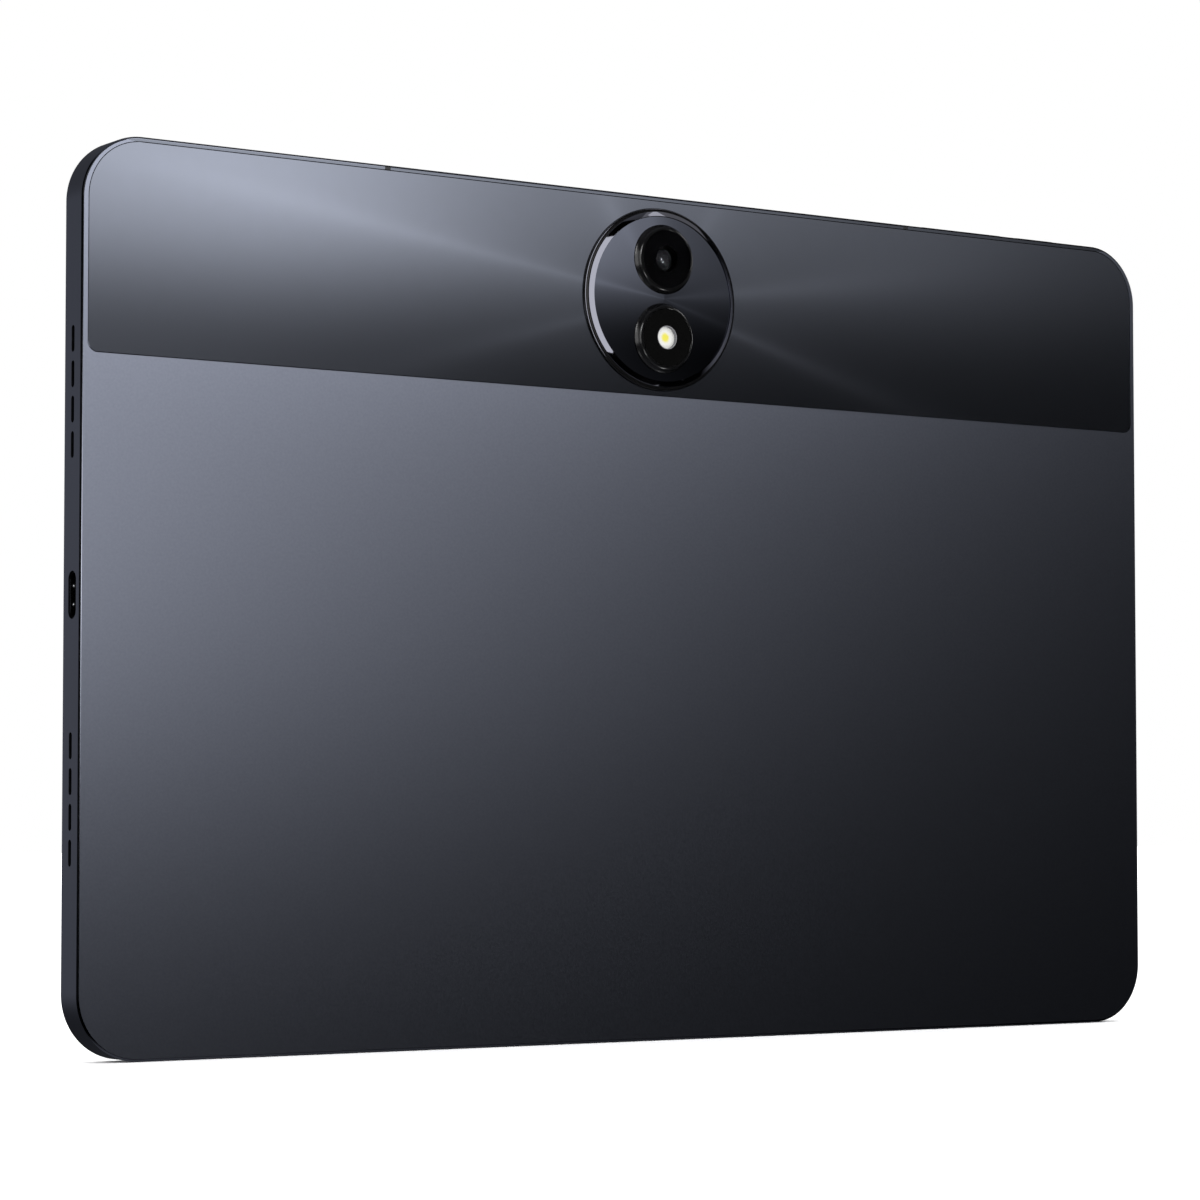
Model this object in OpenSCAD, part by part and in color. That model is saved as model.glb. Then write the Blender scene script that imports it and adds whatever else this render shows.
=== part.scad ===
// Tablet computer, standing on its long bottom edge with its screen towards -Y and its rear
// towards +Y. The origin is the centre of the bottom edge face, at mid-thickness.
// Every module draws its piece on the flat tablet first: x to the right as seen from behind,
// y towards the camera edge, z from the middle of the thickness towards the rear face.
// stand() then lifts the piece into the standing frame.

/* [Body] */
// Length of the long edges
body_w = 264; // [262:0.5:268]
// Height over the short edges
body_h = 174.6; // [174:0.1:176]
// Thickness without the camera
body_t = 7.2; // [7.2:0.1:7.6]
// Radius of the four corners seen from behind
corner_r = 12.6; // [11:0.1:14]
// Chamfer all round the rear and front edges
edge_chamfer = 0.35; // [0.2:0.05:0.4]
// Thickness of the rear panel
rear_t = 0.8; // [0.7:0.05:0.9]

/* [Camera band] */
// Distance from the camera edge to the band's lower line
band_drop = 41.65; // [41:0.05:43]
// Width of the metal rim beside the band
band_side_rim = 1.4; // [1.2:0.1:1.8]
// Width of the metal rim above the band
band_top_rim = 1; // [0.9:0.1:1.2]
// Thickness of the glossy band
band_t = 0.6; // [0.5:0.05:0.6]

/* [Camera island] */
// Distance from the camera edge to the disc's centre
disc_drop = 21.6; // [21.2:0.1:22]
// Radius of the disc's foot
disc_r = 19.03; // [18.8:0.01:19.2]
// Height of the disc's face above the rear panel
disc_rise = 1.5; // [1.4:0.05:1.7]
// Distance from the disc's centre to each lens boss
boss_offset = 8.17; // [8:0.01:8.4]
// Height of the lens bosses above the disc's face
boss_rise = 1.5; // [1.3:0.05:1.6]

/* [Side wall] */
// Length of one speaker slot
slot_len = 5.05; // [4.5:0.05:5.4]
// Width of one speaker slot
slot_w = 1.25; // [1.1:0.05:1.4]
// Distance between neighbouring slots
slot_pitch = 6.68; // [6.5:0.01:6.8]
// Distance from the port's centre to the middle of each group of slots
slot_group = 38.3; // [38:0.1:39]

/* [Keys] */
// Distance from the tablet's middle to the power button's centre
power_x = 104.4; // [103.5:0.1:105]
// Length of the power button
power_len = 11.8; // [11:0.1:12]
// Distance from the tablet's middle to the volume rocker's centre
volume_x = 83.2; // [82.5:0.1:84]
// Length of the volume rocker
volume_len = 23.6; // [22:0.1:24]
// How far both keys stand out of the edge
key_rise = 0.5; // [0.4:0.05:0.6]

/* [Hidden] */
$fn = 48;
eps = 0.5;

// Levels through the thickness, from the screen side to the rear
z_front = -body_t / 2;
z_rear = body_t / 2;
glass_t = 0.7;
z_glass = z_front + glass_t;
z_ledge = z_glass + 0.2;
z_panel = z_glass + 0.5;
z_light = z_panel + 1;
plate_t = 0.3;
z_plate = z_light + 0.3;
z_inner = z_plate + plate_t + 0.05;
z_floor = z_rear - rear_t;
z_band = z_rear - band_t;
z_carrier = z_band - 1;
z_disc = z_rear + disc_rise;
z_boss = z_disc + boss_rise;

// Outline insets from the body's outline
lip_in = 0.8;
glass_in = 1.1;
wall_in = 2.6;
half_w = body_w / 2;
half_h = body_h / 2;
inner_x = half_w - wall_in;
inner_y = half_h - wall_in;

// Camera band and island
band_y0 = half_h - band_drop;
band_y1 = half_h - band_top_rim;
band_corner_r = 2;
band_w = body_w - 2 * band_side_rim;
disc_y = half_h - disc_drop;
lens_y = disc_y + boss_offset;
flash_y = disc_y - boss_offset;
face_r = disc_r - 1.78;
plate_r = face_r - 0.04;
z_shelf = z_disc - 0.8;
boss_foot_r = 7.3;
boss_neck_r = 6.5;
boss_bore_r = 4.6;
window_r = 5.95;
window_t = 0.45;
flash_hole_r = 2.45;

// Radio window between the two plastic splits of the camera edge
split_x = 65.5;
split_w = 1.3;
radio_x = split_x - split_w / 2;
radio_y0 = band_y0 + 0.85;

// Rear camera
module_w = 9.5;
barrel_r = 3.1;
barrel_gap = 0.05;
module_top = z_shelf - 0.2;
sensor_board_t = 0.4;

// Screen
screen_w = 250.8;
screen_h = 157.8;

// Battery
cell_w = 94.5;
cell_gap = 3;
cell_y0 = -80;
cell_y1 = 32;
cell_t = z_floor - 0.2 - z_inner - 0.05;

// Boards
board_t = 0.8;
z_board = 0.8;
board_x0 = -52;
board_x1 = 98;
board_y0 = 38;
board_y1 = 80;
board_screws = [[92, 41], [92, 77], [-46, 41], [-46, 77]];
plate_screws = [[122, 78], [-122, 78], [122, -78], [-122, -78], [-75, 62], [99.6, -66], [-99.6, -66]];
screw_r = 0.65;
boss_screw_r = 1.6;
screw_head_r = 1.2;

// Charging port: the standard small reversible connector
port_z = 0.4;
port_shell_w = 8.94;
port_shell_t = 3.16;
port_gap = 0.05;
port_wall = 0.3;
port_depth = 7;
port_x0 = -half_w + 0.3;
usb_x1 = -97.5;
usb_half = 16;

// Speakers
speaker_w = 28.6;
speaker_h = 31;
speaker_x = inner_x - 0.2;
speaker_t = z_carrier - 0.1 - z_inner;
slot_z = 0.1;

// Keys
key_z = 0.2;
key_w = 2.2;
key_gap = 0.05;
rocker_gap = 0.15;
key_nub_y = half_h - 4.15;
key_top_y = half_h + key_rise;
flex_y = half_h - 5.9;
rocker_pivot_y = half_h - 4.6;
nub_x = 8;
key_x0 = 68;
key_x1 = 114;

// Card tray, in the short wall without the port
tray_y = 8;
tray_z = 0.4;
tray_face_w = 15.5;
tray_face_t = 2.2;
tray_body_w = 12.6;
tray_len = 20;
tray_t = 0.8;
card_w = 11;
card_len = 15;

// Small top-side parts
front_camera_y = half_h - 5.4;
mic_x = 50;

// Lifts a piece drawn on the flat tablet into the standing frame
module stand() translate([0, 0, half_h]) rotate([90, 0, 180]) children();

// Flat rounded rectangle of full width w and full height h
module rounded_rect(w, h, r) {
    square([w - 2 * r, h], center = true);
    square([w, h - 2 * r], center = true);
    for (sx = [-1, 1], sy = [-1, 1])
        translate([sx * (w / 2 - r), sy * (h / 2 - r)]) circle(r);
}

// Straight plate with rounded corners between two levels
module plate(w, h, r, z0, z1)
    translate([0, 0, z0]) linear_extrude(z1 - z0) rounded_rect(w, h, r);

// Block given by two opposite corners
module block(lo, hi) translate(lo) cube(hi - lo);

// Half profile of a chamfered edge, from the middle line outwards
function edge_profile(half, z0, z1, c) =
    [[0, z0], [half - c, z0], [half, z0 + c], [half, z1 - c], [half - c, z1], [0, z1]];
// Whole profile, mirrored about the middle line
function full_profile(half, z0, z1, c) =
    [[-half + c, z0], [half - c, z0], [half, z0 + c], [half, z1 - c],
     [half - c, z1], [-half + c, z1], [-half, z1 - c], [-half, z0 + c]];

// Rounded slab with the same chamfer on both of its faces' edges
module chamfered_slab(w, h, r, z0, z1, c) {
    rotate([90, 0, 90]) linear_extrude(w - 2 * r, center = true) polygon(full_profile(h / 2, z0, z1, c));
    rotate([90, 0, 0]) linear_extrude(h - 2 * r, center = true) polygon(full_profile(w / 2, z0, z1, c));
    for (sx = [-1, 1], sy = [-1, 1])
        translate([sx * (w / 2 - r), sy * (h / 2 - r), 0])
            rotate_extrude($fn = 96) polygon(edge_profile(r, z0, z1, c));
}

// Slot with round ends, drilled along x: len along y, wide along z
module slot_x(x0, x1, y, z, len, wide) {
    for (s = [-1, 1])
        translate([x0, y + s * (len - wide) / 2, z]) rotate([0, 90, 0]) cylinder(r = wide / 2, h = x1 - x0);
    block([x0, y - (len - wide) / 2, z - wide / 2], [x1, y + (len - wide) / 2, z + wide / 2]);
}

// Slot with round ends, drilled along y: len along x, wide along z
module slot_y(y0, y1, x, z, len, wide) {
    for (s = [-1, 1])
        translate([x + s * (len - wide) / 2, y0, z]) rotate([-90, 0, 0]) cylinder(r = wide / 2, h = y1 - y0);
    block([x - (len - wide) / 2, y0, z - wide / 2], [x + (len - wide) / 2, y1, z + wide / 2]);
}

// Outline of the glossy band, grown outwards by g
module band_outline(g) {
    w = band_w + 2 * g;
    y0 = band_y0 - g;
    y1 = band_y1 + g;
    rt = corner_r - band_side_rim + g;
    rb = band_corner_r + g;
    translate([-w / 2 + rb, y0]) square([w - 2 * rb, rb]);
    translate([-w / 2, y0 + rb]) square([w, y1 - y0 - rb - rt]);
    translate([-w / 2 + rt, y1 - rt]) square([w - 2 * rt, rt]);
    for (s = [-1, 1]) {
        translate([s * (w / 2 - rb), y0 + rb]) circle(rb);
        translate([s * (w / 2 - rt), y1 - rt]) circle(rt, $fn = 96);
    }
}

// The metal shell before the camera edge is split: walls, rear panel, glass pocket, band recess
module shell_blank() difference() {
    chamfered_slab(body_w, body_h, corner_r, z_front, z_rear, edge_chamfer);
    plate(body_w - 2 * lip_in, body_h - 2 * lip_in, corner_r - lip_in, z_front - eps, z_ledge);
    plate(2 * inner_x, 2 * inner_y, corner_r - wall_in, z_ledge - eps, z_carrier);
    intersection() {
        plate(2 * inner_x, 2 * inner_y, corner_r - wall_in, z_carrier - eps, z_floor);
        block([-half_w, -half_h, z_front], [half_w, band_y0 - 1.2, z_rear]);
    }
    translate([0, 0, z_band]) linear_extrude(band_t + eps) band_outline(0.08);
}

// Openings for the keys, the ports, the slots and the card tray
module wall_openings() {
    for (side = [-1, 1], group = [-1, 1], i = [-1.5:1:1.5])
        slot_x(side * (half_w - wall_in / 2) - wall_in, side * (half_w - wall_in / 2) + wall_in,
               group * slot_group + i * slot_pitch, slot_z, slot_len, slot_w);
    slot_x(-half_w - eps, -inner_x + eps, 0, port_z, port_shell_w + 2 * port_gap, port_shell_t + 2 * port_gap);
    slot_x(inner_x - eps, half_w + eps, tray_y, tray_z, tray_face_w + 2 * key_gap, tray_face_t + 2 * key_gap);
    slot_y(inner_y - eps, half_h + eps, power_x, key_z, power_len + 2 * key_gap, key_w + 2 * key_gap);
    slot_y(inner_y - eps, half_h + eps, volume_x, key_z, volume_len + 2 * rocker_gap, key_w + 2 * key_gap);
    for (s = [-1, 1])
        translate([s * mic_x, inner_y - eps, key_z]) rotate([-90, 0, 0]) cylinder(r = 0.5, h = wall_in + 2 * eps);
}

// Part of the camera edge that the radio antenna uses
module radio_edge(half) block([-half, inner_y, z_front - eps], [half, half_h + eps, z_rear + eps]);

module screw_boss(p, z0) difference() {
    translate([p.x, p.y, z0]) cylinder(r = boss_screw_r, h = (p.y > band_y0 - 1.2 ? z_carrier : z_floor) - z0);
    translate([p.x, p.y, z0 - eps]) cylinder(r = screw_r + 0.05, h = 1.7 + eps);
}

module rear_housing() color("#4a4d55") stand() {
    difference() {
        shell_blank();
        wall_openings();
        radio_edge(split_x + split_w / 2);
        block([-radio_x, radio_y0, z_front], [radio_x, inner_y + eps, z_rear + eps]);
        for (p = board_screws) translate([p.x, p.y, z_board]) cylinder(r = screw_r + 0.05, h = 1.7);
    }
    for (p = plate_screws) screw_boss(p, z_plate + plate_t);
    for (p = board_screws) if (abs(p.x) > radio_x || p.y < radio_y0) screw_boss(p, z_board + board_t);
}

module antenna_rim() color("#5a5d66") stand() difference() {
    intersection() {
        shell_blank();
        radio_edge(radio_x);
    }
    wall_openings();
}

module antenna_splits() color("#1d1e22") stand() intersection() {
    shell_blank();
    for (s = [-1, 1])
        translate([s * split_x, 0, 0])
            block([-split_w / 2, inner_y, z_front - eps], [split_w / 2, half_h + eps, z_rear + eps]);
}

// Plastic plate that closes the radio window and carries the band, the disc and the flash
module band_carrier() color("#17181b") stand() {
    difference() {
        block([-radio_x, radio_y0, z_carrier], [radio_x, inner_y, z_band]);
        block([-module_w / 2 - 0.4, lens_y - module_w / 2 - 0.4, z_carrier - eps],
              [module_w / 2 + 0.4, lens_y + module_w / 2 + 0.4, z_band + eps]);
        translate([0, flash_y - 3.3, 0]) block([-1.7, -0.3, z_carrier - eps], [1.7, 0.3, z_band + eps]);
        translate([-46, 77, z_board]) cylinder(r = screw_r + 0.05, h = 1.7);
    }
    difference() {
        translate([0, flash_y, z_band]) cylinder(r = 4.4, h = z_shelf - 0.3 - z_band);
        translate([0, flash_y - 3.3, 0]) block([-1.7, -0.3, z_band - eps], [1.7, 0.3, z_disc]);
    }
    screw_boss([-46, 77], z_board + board_t);
}

module camera_band() color("#2c2e35") stand() difference() {
    translate([0, 0, z_band]) linear_extrude(band_t) band_outline(0);
    translate([0, disc_y, z_band - eps]) cylinder(r = disc_r + 0.06, h = band_t + 2 * eps, $fn = 96);
}

// Turned metal ring: foot, thin bright step, dark neck and polished bevel
module camera_ring() color("#6a6d76") stand() translate([0, disc_y, 0])
    rotate_extrude($fn = 128) polygon([
        [face_r - 1.7, z_band], [disc_r, z_band], [disc_r, z_rear + 0.4], [disc_r - 0.22, z_rear + 0.6],
        [disc_r - 0.68, z_rear + 0.6], [disc_r - 0.78, z_rear + 0.72], [disc_r - 0.78, z_disc - 0.6],
        [face_r, z_disc], [face_r, z_shelf], [face_r - 1.7, z_shelf]]);

module camera_plate() color("#262830") stand() difference() {
    translate([0, disc_y, z_shelf]) cylinder(r = plate_r, h = z_disc - z_shelf, $fn = 128);
    for (y = [lens_y, flash_y])
        translate([0, y, z_shelf - eps]) cylinder(r = boss_neck_r + 0.04, h = 2, $fn = 96);
}

// Raised ring round a window: a sloped skirt, a rounded shoulder and a seat for the glass
module lens_boss(y) translate([0, y, 0]) rotate_extrude($fn = 96) polygon([
    [boss_bore_r, z_shelf], [boss_neck_r, z_shelf], [boss_neck_r, z_disc], [boss_foot_r, z_disc],
    [boss_foot_r, z_disc + 0.08], [boss_foot_r - 0.35, z_disc + 0.5], [boss_neck_r + 0.2, z_boss - 0.45],
    [boss_neck_r + 0.06, z_boss - 0.2], [boss_neck_r - 0.1, z_boss - 0.06], [boss_neck_r - 0.3, z_boss],
    [window_r + 0.05, z_boss], [window_r + 0.05, z_boss - window_t - 0.05],
    [boss_bore_r, z_boss - window_t - 0.05]]);

module camera_bezel() color("#0e0f11") stand() lens_boss(lens_y);
module flash_bezel() color("#0e0f11") stand() lens_boss(flash_y);

module camera_window() color("#050506") stand() translate([0, lens_y, z_boss - window_t - 0.05])
    cylinder(r = window_r, h = window_t, $fn = 96);

module flash_window() color("#050506") stand() translate([0, flash_y, z_boss - window_t - 0.05]) difference() {
    cylinder(r = window_r, h = window_t, $fn = 96);
    translate([0, 0, -eps]) cylinder(r = flash_hole_r, h = window_t + 2 * eps);
}

// Diffuser: a flange under the flash window and a plug that ends below its face
module flash_lens() color("#f4f3ec") stand() translate([0, flash_y, 0]) {
    translate([0, 0, z_boss - window_t - 0.55]) cylinder(r = boss_bore_r - 0.1, h = 0.5);
    translate([0, 0, z_boss - window_t - 0.1]) cylinder(r = flash_hole_r - 0.05, h = 0.1);
}

module flash_led() color("#f2e14c") stand()
    block([-1.6, flash_y - 1.6, z_shelf], [1.6, flash_y + 1.6, z_shelf + 0.7]);

// Round flash board with its tail down to the main board
module flash_board() color("#3a2f16") stand() {
    translate([0, flash_y, z_shelf - 0.3]) cylinder(r = 4.2, h = 0.3);
    block([-1.5, flash_y - 3.5, z_board + board_t], [1.5, flash_y - 3.2, z_shelf - 0.2]);
}

module camera_module() color("#2b2b2f") stand() difference() {
    block([-module_w / 2, lens_y - module_w / 2, z_inner + sensor_board_t],
          [module_w / 2, lens_y + module_w / 2, module_top]);
    block([-3.6, lens_y - 3.6, z_inner], [3.6, lens_y + 3.6, 1]);
    translate([0, lens_y, 1 - eps]) cylinder(r = barrel_r + barrel_gap, h = 5);
}

module lens_barrel() color("#141416") stand() translate([0, lens_y, 0]) difference() {
    translate([0, 0, 1.2]) cylinder(r = barrel_r, h = 3.4);
    translate([0, 0, 3.9]) cylinder(r1 = 1.3, r2 = 2.5, h = 0.71);
}

module image_sensor() color("#2f4a3a") stand() {
    block([-module_w / 2, lens_y - module_w / 2, z_inner], [module_w / 2, lens_y + module_w / 2,
          z_inner + sensor_board_t]);
    block([-3, lens_y - 2.5, z_inner + sensor_board_t], [3, lens_y + 2.5, z_inner + sensor_board_t + 0.3]);
}

module camera_flex() color("#a3621f") stand() {
    block([-2.6, 60, 0.15], [2.6, 64.6, 0.3]);
    block([-2.6, 64.45, z_inner + 0.1], [2.6, 64.6, 0.15]);
    block([-2.6, 64.45, z_inner], [2.6, lens_y - module_w / 2, z_inner + 0.15]);
}

module cover_glass() color("#0a0b0d") stand()
    chamfered_slab(body_w - 2 * glass_in, body_h - 2 * glass_in, corner_r - glass_in, z_front, z_glass, 0.15);

// Thin frame between an outer and an inner rounded outline
module frame(in0, in1, z0, z1) difference() {
    plate(body_w - 2 * in0, body_h - 2 * in0, corner_r - in0, z0, z1);
    plate(body_w - 2 * in1, body_h - 2 * in1, corner_r - in1, z0 - eps, z1 + eps);
}

module glass_gasket() color("#111214") stand() frame(lip_in, glass_in, z_front + 0.12, z_ledge);
module display_adhesive() color("#202124") stand() frame(1.3, 2.4, z_glass, z_ledge);

module display_panel() color("#15171c") stand() plate(screen_w, screen_h, 2, z_glass, z_panel);

module backlight_unit() color("#d8dadd") stand() plate(screen_w, screen_h, 2, z_panel, z_light);

// Folded tail of the panel: down its side, then over the support plate to its connector
module display_flex() color("#a3621f") stand() {
    block([-44, screen_h / 2 + 0.1, z_panel - 0.25], [-20, screen_h / 2 + 0.25, z_inner + 0.2]);
    block([-44, screen_h / 2, z_panel - 0.25], [-20, screen_h / 2 + 0.1, z_panel - 0.1]);
    block([-40, 61, z_inner + 0.05], [-24, screen_h / 2 + 0.1, z_inner + 0.2]);
}

module support_plate() color("#9aa0a6") stand() difference() {
    plate(body_w - 6, body_h - 6, corner_r - 3, z_plate, z_plate + plate_t);
    block([-46, screen_h / 2 - 0.3, -9], [-18, screen_h / 2 + 1, 9]);
    block([-3.4, front_camera_y - 3.4, -9], [3.4, half_h, 9]);
    block([-half_w, -6, -9], [-half_w + port_depth + 1.5, 6, 9]);
    for (x = [-mic_x, 9, mic_x]) block([x - 3, half_h - 6.5, -9], [x + 3, half_h, 9]);
    block([key_x0 - 1, flex_y - 1, -9], [key_x1 + 1, half_h, 9]);
    for (p = plate_screws) translate([p.x, p.y, -9]) cylinder(r = screw_r + 0.1, h = 18);
}

// One pouch cell: a rounded brick with the pressed lip of its seal along both sides
module battery_cell(s) translate([s * (cell_w + cell_gap) / 2, (cell_y0 + cell_y1) / 2, 0]) {
    plate(cell_w - 2, cell_y1 - cell_y0, 2, z_inner + 0.05, z_floor - 0.2);
    plate(cell_w, cell_y1 - cell_y0 - 2, 1, z_floor - 0.7, z_floor - 0.4);
}

module battery_cell_left() color("#17181c") stand() battery_cell(-1);
module battery_cell_right() color("#17181c") stand() battery_cell(1);

module battery_adhesive() color("#e6e6e2") stand()
    for (s = [-1, 1], x = [-30, 0, 30])
        translate([s * (cell_w + cell_gap) / 2 + x - 9, cell_y0 + 6, z_floor - 0.2])
            cube([18, cell_y1 - cell_y0 - 12, 0.2]);

module battery_board() color("#1f5a34") stand()
    block([-60, cell_y1 + 0.6, 0], [60, cell_y1 + 4.6, 1.2]);

module battery_flex() color("#a3621f") stand() block([-24, cell_y1 + 1.5, -0.2], [-16, 42.6, 0]);

module main_board() color("#1b3d2a") stand() difference() {
    block([board_x0, board_y0, z_board], [board_x1, board_y1, z_board + board_t]);
    block([-6.5, 67, 0], [6.5, board_y1 + eps, 3]);
    block([board_x1 - 30, board_y1 - 1.5, 0], [board_x1 + eps, board_y1 + eps, 3]);
    for (p = board_screws) translate([p.x, p.y, 0]) cylinder(r = screw_r + 0.1, h = 3);
}

module processor() color("#26272b") stand() block([42, 50, z_board - 1.1], [58, 66, z_board]);
module memory_chips() color("#1c1d20") stand()
    for (x = [24, 64]) block([x, 51, z_board - 0.9], [x + 12, 65, z_board]);

// Pressed cover over the processor and the memory
module shield_can() color("#b9bcc0") stand() difference() {
    block([19, 46, z_inner + 0.1], [81, 70, z_board]);
    block([19.2, 46.2, z_inner + 0.3], [80.8, 69.8, z_board + eps]);
}

module graphite_sheet() color("#303236") stand() block([10, 42, z_inner], [88, 73, z_inner + 0.1]);

module board_connectors() color("#6b4a2a") stand() {
    block([-25, 39.6, 0], [-15, 42.4, z_board]);
    block([-38, 61, z_inner + 0.2], [-26, 63.8, z_board]);
    block([-51, 46.4, 0], [-43, 50.6, z_board]);
    block([-4, 60.2, 0.3], [4, 63, z_board]);
}

// Port board, cut out round the receptacle's shell
module usb_board() color("#1b3d2a") stand() difference() {
    block([-inner_x + 1, -usb_half, 0], [usb_x1, usb_half, board_t]);
    block([-inner_x, -port_shell_w / 2 - 0.1, -eps], [port_x0 + port_depth + 0.1, port_shell_w / 2 + 0.1, 3]);
}

module usb_receptacle() color("#8d9096") stand() difference() {
    slot_x(port_x0, port_x0 + port_depth, 0, port_z, port_shell_w, port_shell_t);
    slot_x(port_x0 - eps, port_x0 + port_depth - 0.2, 0, port_z, port_shell_w - 2 * port_wall,
           port_shell_t - 2 * port_wall);
}

module usb_tongue() color("#101113") stand() {
    slot_x(port_x0 + port_depth - 1.2, port_x0 + port_depth - 0.2, 0, port_z,
           port_shell_w - 2 * port_wall - 0.02, port_shell_t - 2 * port_wall - 0.02);
    block([port_x0 + 1.35, -3.35, port_z - 0.35], [port_x0 + port_depth - 1.1, 3.35, port_z + 0.35]);
}

// Ribbon from the port board, up beside the battery and across to the main board
module side_flex() color("#a3621f") stand() {
    block([-99.4, 8, -0.15], [-96.8, 50, 0]);
    block([-96.8, 47, -0.15], [-44, 50, 0]);
}

// Sealed speaker box with a domed diaphragm frame on its screen side
module speaker(sx, sy) {
    x0 = sx > 0 ? speaker_x - speaker_w : -speaker_x;
    y0 = sy * slot_group - speaker_h / 2;
    difference() {
        translate([x0 + speaker_w / 2, y0 + speaker_h / 2, 0])
            plate(speaker_w, speaker_h, 1.5, z_inner, z_inner + speaker_t);
        translate([x0 + speaker_w / 2, y0 + speaker_h / 2, 0]) plate(18, 12, 4, z_inner - eps, z_inner + 0.4);
    }
    translate([x0 + speaker_w / 2, y0 + speaker_h / 2, 0]) plate(14, 8, 3, z_inner + 0.2, z_inner + 0.4);
}

module speaker_upper_left() color("#1a1b1e") stand() speaker(-1, 1);
module speaker_lower_left() color("#1a1b1e") stand() speaker(-1, -1);
module speaker_upper_right() color("#1a1b1e") stand() speaker(1, 1);
module speaker_lower_right() color("#1a1b1e") stand() speaker(1, -1);

module speaker_meshes() color("#0c0c0d") stand()
    for (sx = [-1, 1], sy = [-1, 1])
        translate([sx * (inner_x - 0.1), sy * slot_group, slot_z + 0.2])
            cube([0.15, 4 * slot_pitch + 1, 1.9], center = true);

module front_camera() color("#101114") stand() difference() {
    block([-2.5, front_camera_y - 2.5, z_glass + 0.05], [2.5, front_camera_y + 2.5, 0.6]);
    translate([0, front_camera_y, z_glass - eps]) cylinder(r1 = 1.9, r2 = 0.8, h = eps + 0.6);
}

module light_sensor() color("#2a2320") stand()
    block([7.6, front_camera_y - 1, z_glass + 0.05], [10.6, front_camera_y + 1, z_glass + 0.9]);

module microphones() color("#b7a06a") stand()
    for (s = [-1, 1]) block([s * mic_x - 1.8, inner_y - 2.8, key_z - 0.5], [s * mic_x + 1.8, inner_y - 0.1, key_z + 0.5]);

// Antenna blade on the inside of the plastic carrier
module wifi_antenna(s) {
    translate([s * 43, 0, 0]) block([-17, 80.6, z_carrier - 0.3], [17, inner_y - 0.2, z_carrier]);
    translate([s * 28, 0, 0]) block([-1, 80.6, z_carrier - 0.6], [1, inner_y - 0.2, z_carrier - 0.3]);
}

module wifi_antenna_left() color("#c0873c") stand() wifi_antenna(-1);
module wifi_antenna_right() color("#c0873c") stand() wifi_antenna(1);

// Thin coaxial lead with a plug at each end, one for each antenna
module coax_cables() color("#26282c") stand()
    for (s = [-1, 1]) {
        translate([s * 28, 75.5, z_board + board_t]) cylinder(r = 1, h = z_carrier - 0.1 - z_board - board_t);
        translate([s * 28, 76.4, z_board + board_t + 0.2]) rotate([-90, 0, 0]) cylinder(r = 0.18, h = 4.2);
    }

// Sliding key: a cap through the wall, a flange behind it and a nub over the switch
module power_button() color("#5c5f68") stand() {
    slot_y(half_h - 3.2, key_top_y, power_x, key_z, power_len, key_w);
    block([power_x - power_len / 2 - 0.7, half_h - 3.3, key_z - 0.9],
          [power_x + power_len / 2 + 0.7, half_h - 2.7, key_z + 0.9]);
    translate([power_x, key_nub_y, key_z]) rotate([-90, 0, 0]) cylinder(r = 0.8, h = 1);
}

// Rocking key: it turns about the middle of its rib, and its two nubs reach for the switches
module volume_rocker() color("#5c5f68") stand() {
    slot_y(half_h - 3.2, key_top_y, volume_x, key_z, volume_len, key_w);
    block([volume_x - 1.5, rocker_pivot_y, key_z - 0.8], [volume_x + 1.5, half_h - 3, key_z + 0.8]);
    block([volume_x - 5, half_h - 3.4, key_z - 1.4], [volume_x + 5, half_h - 3, key_z + 1.4]);
    for (s = [-1, 1])
        translate([volume_x + s * nub_x, key_nub_y, key_z]) rotate([-90, 0, 0]) cylinder(r = 0.8, h = 1);
}

// Steel strip behind the keys, with the post that the rocker's rib turns on
module key_bracket() color("#a6a9ad") stand() {
    block([key_x0, flex_y - 0.6, z_inner], [key_x1, flex_y - 0.2, z_carrier - 0.1]);
    block([volume_x - 0.5, flex_y - 0.3, key_z - 0.7], [volume_x + 0.5, rocker_pivot_y - 0.05, key_z + 0.7]);
}

module key_switches() color("#c9cbce") stand()
    for (x = [power_x, volume_x - nub_x, volume_x + nub_x]) {
        block([x - 1.7, flex_y, key_z - 0.8], [x + 1.7, flex_y + 0.9, key_z + 0.8]);
        translate([x, flex_y + 0.8, key_z]) rotate([-90, 0, 0]) cylinder(r = 0.7, h = 0.6);
    }

module key_flex() color("#a3621f") stand() difference() {
    block([key_x0 + 2, flex_y - 0.2, key_z - 0.85], [key_x1 - 2, flex_y, key_z + 0.85]);
    block([volume_x - 0.6, flex_y - eps, key_z - 0.75], [volume_x + 0.6, flex_y + eps, key_z + 0.75]);
}

// Tray: a flush face with an ejector hole, and a frame round the card
module card_tray() color("#4a4d55") stand() difference() {
    union() {
        slot_x(inner_x + 0.2, half_w, tray_y, tray_z, tray_face_w, tray_face_t);
        block([half_w - tray_len, tray_y - tray_body_w / 2, tray_z - tray_t / 2],
              [inner_x + 0.3, tray_y + tray_body_w / 2, tray_z + tray_t / 2]);
    }
    block([half_w - tray_len + 1, tray_y - card_w / 2 - 0.05, tray_z - tray_t / 2 + 0.15],
          [half_w - tray_len + 1.1 + card_len, tray_y + card_w / 2 + 0.05, tray_z + tray_t]);
    translate([half_w - 1.8, tray_y + 5.6, tray_z]) rotate([0, 90, 0]) cylinder(r = 0.45, h = 3);
}

module card_reader() color("#b9bcc0") stand() difference() {
    block([half_w - tray_len - 1.6, tray_y - tray_body_w / 2 - 0.7, tray_z - 0.95],
          [inner_x - 0.2, tray_y + tray_body_w / 2 + 0.7, tray_z + 0.95]);
    block([half_w - tray_len - 0.6, tray_y - tray_body_w / 2 - 0.2, tray_z - 0.65],
          [inner_x + eps, tray_y + tray_body_w / 2 + 0.2, tray_z + 0.65]);
}

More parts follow.
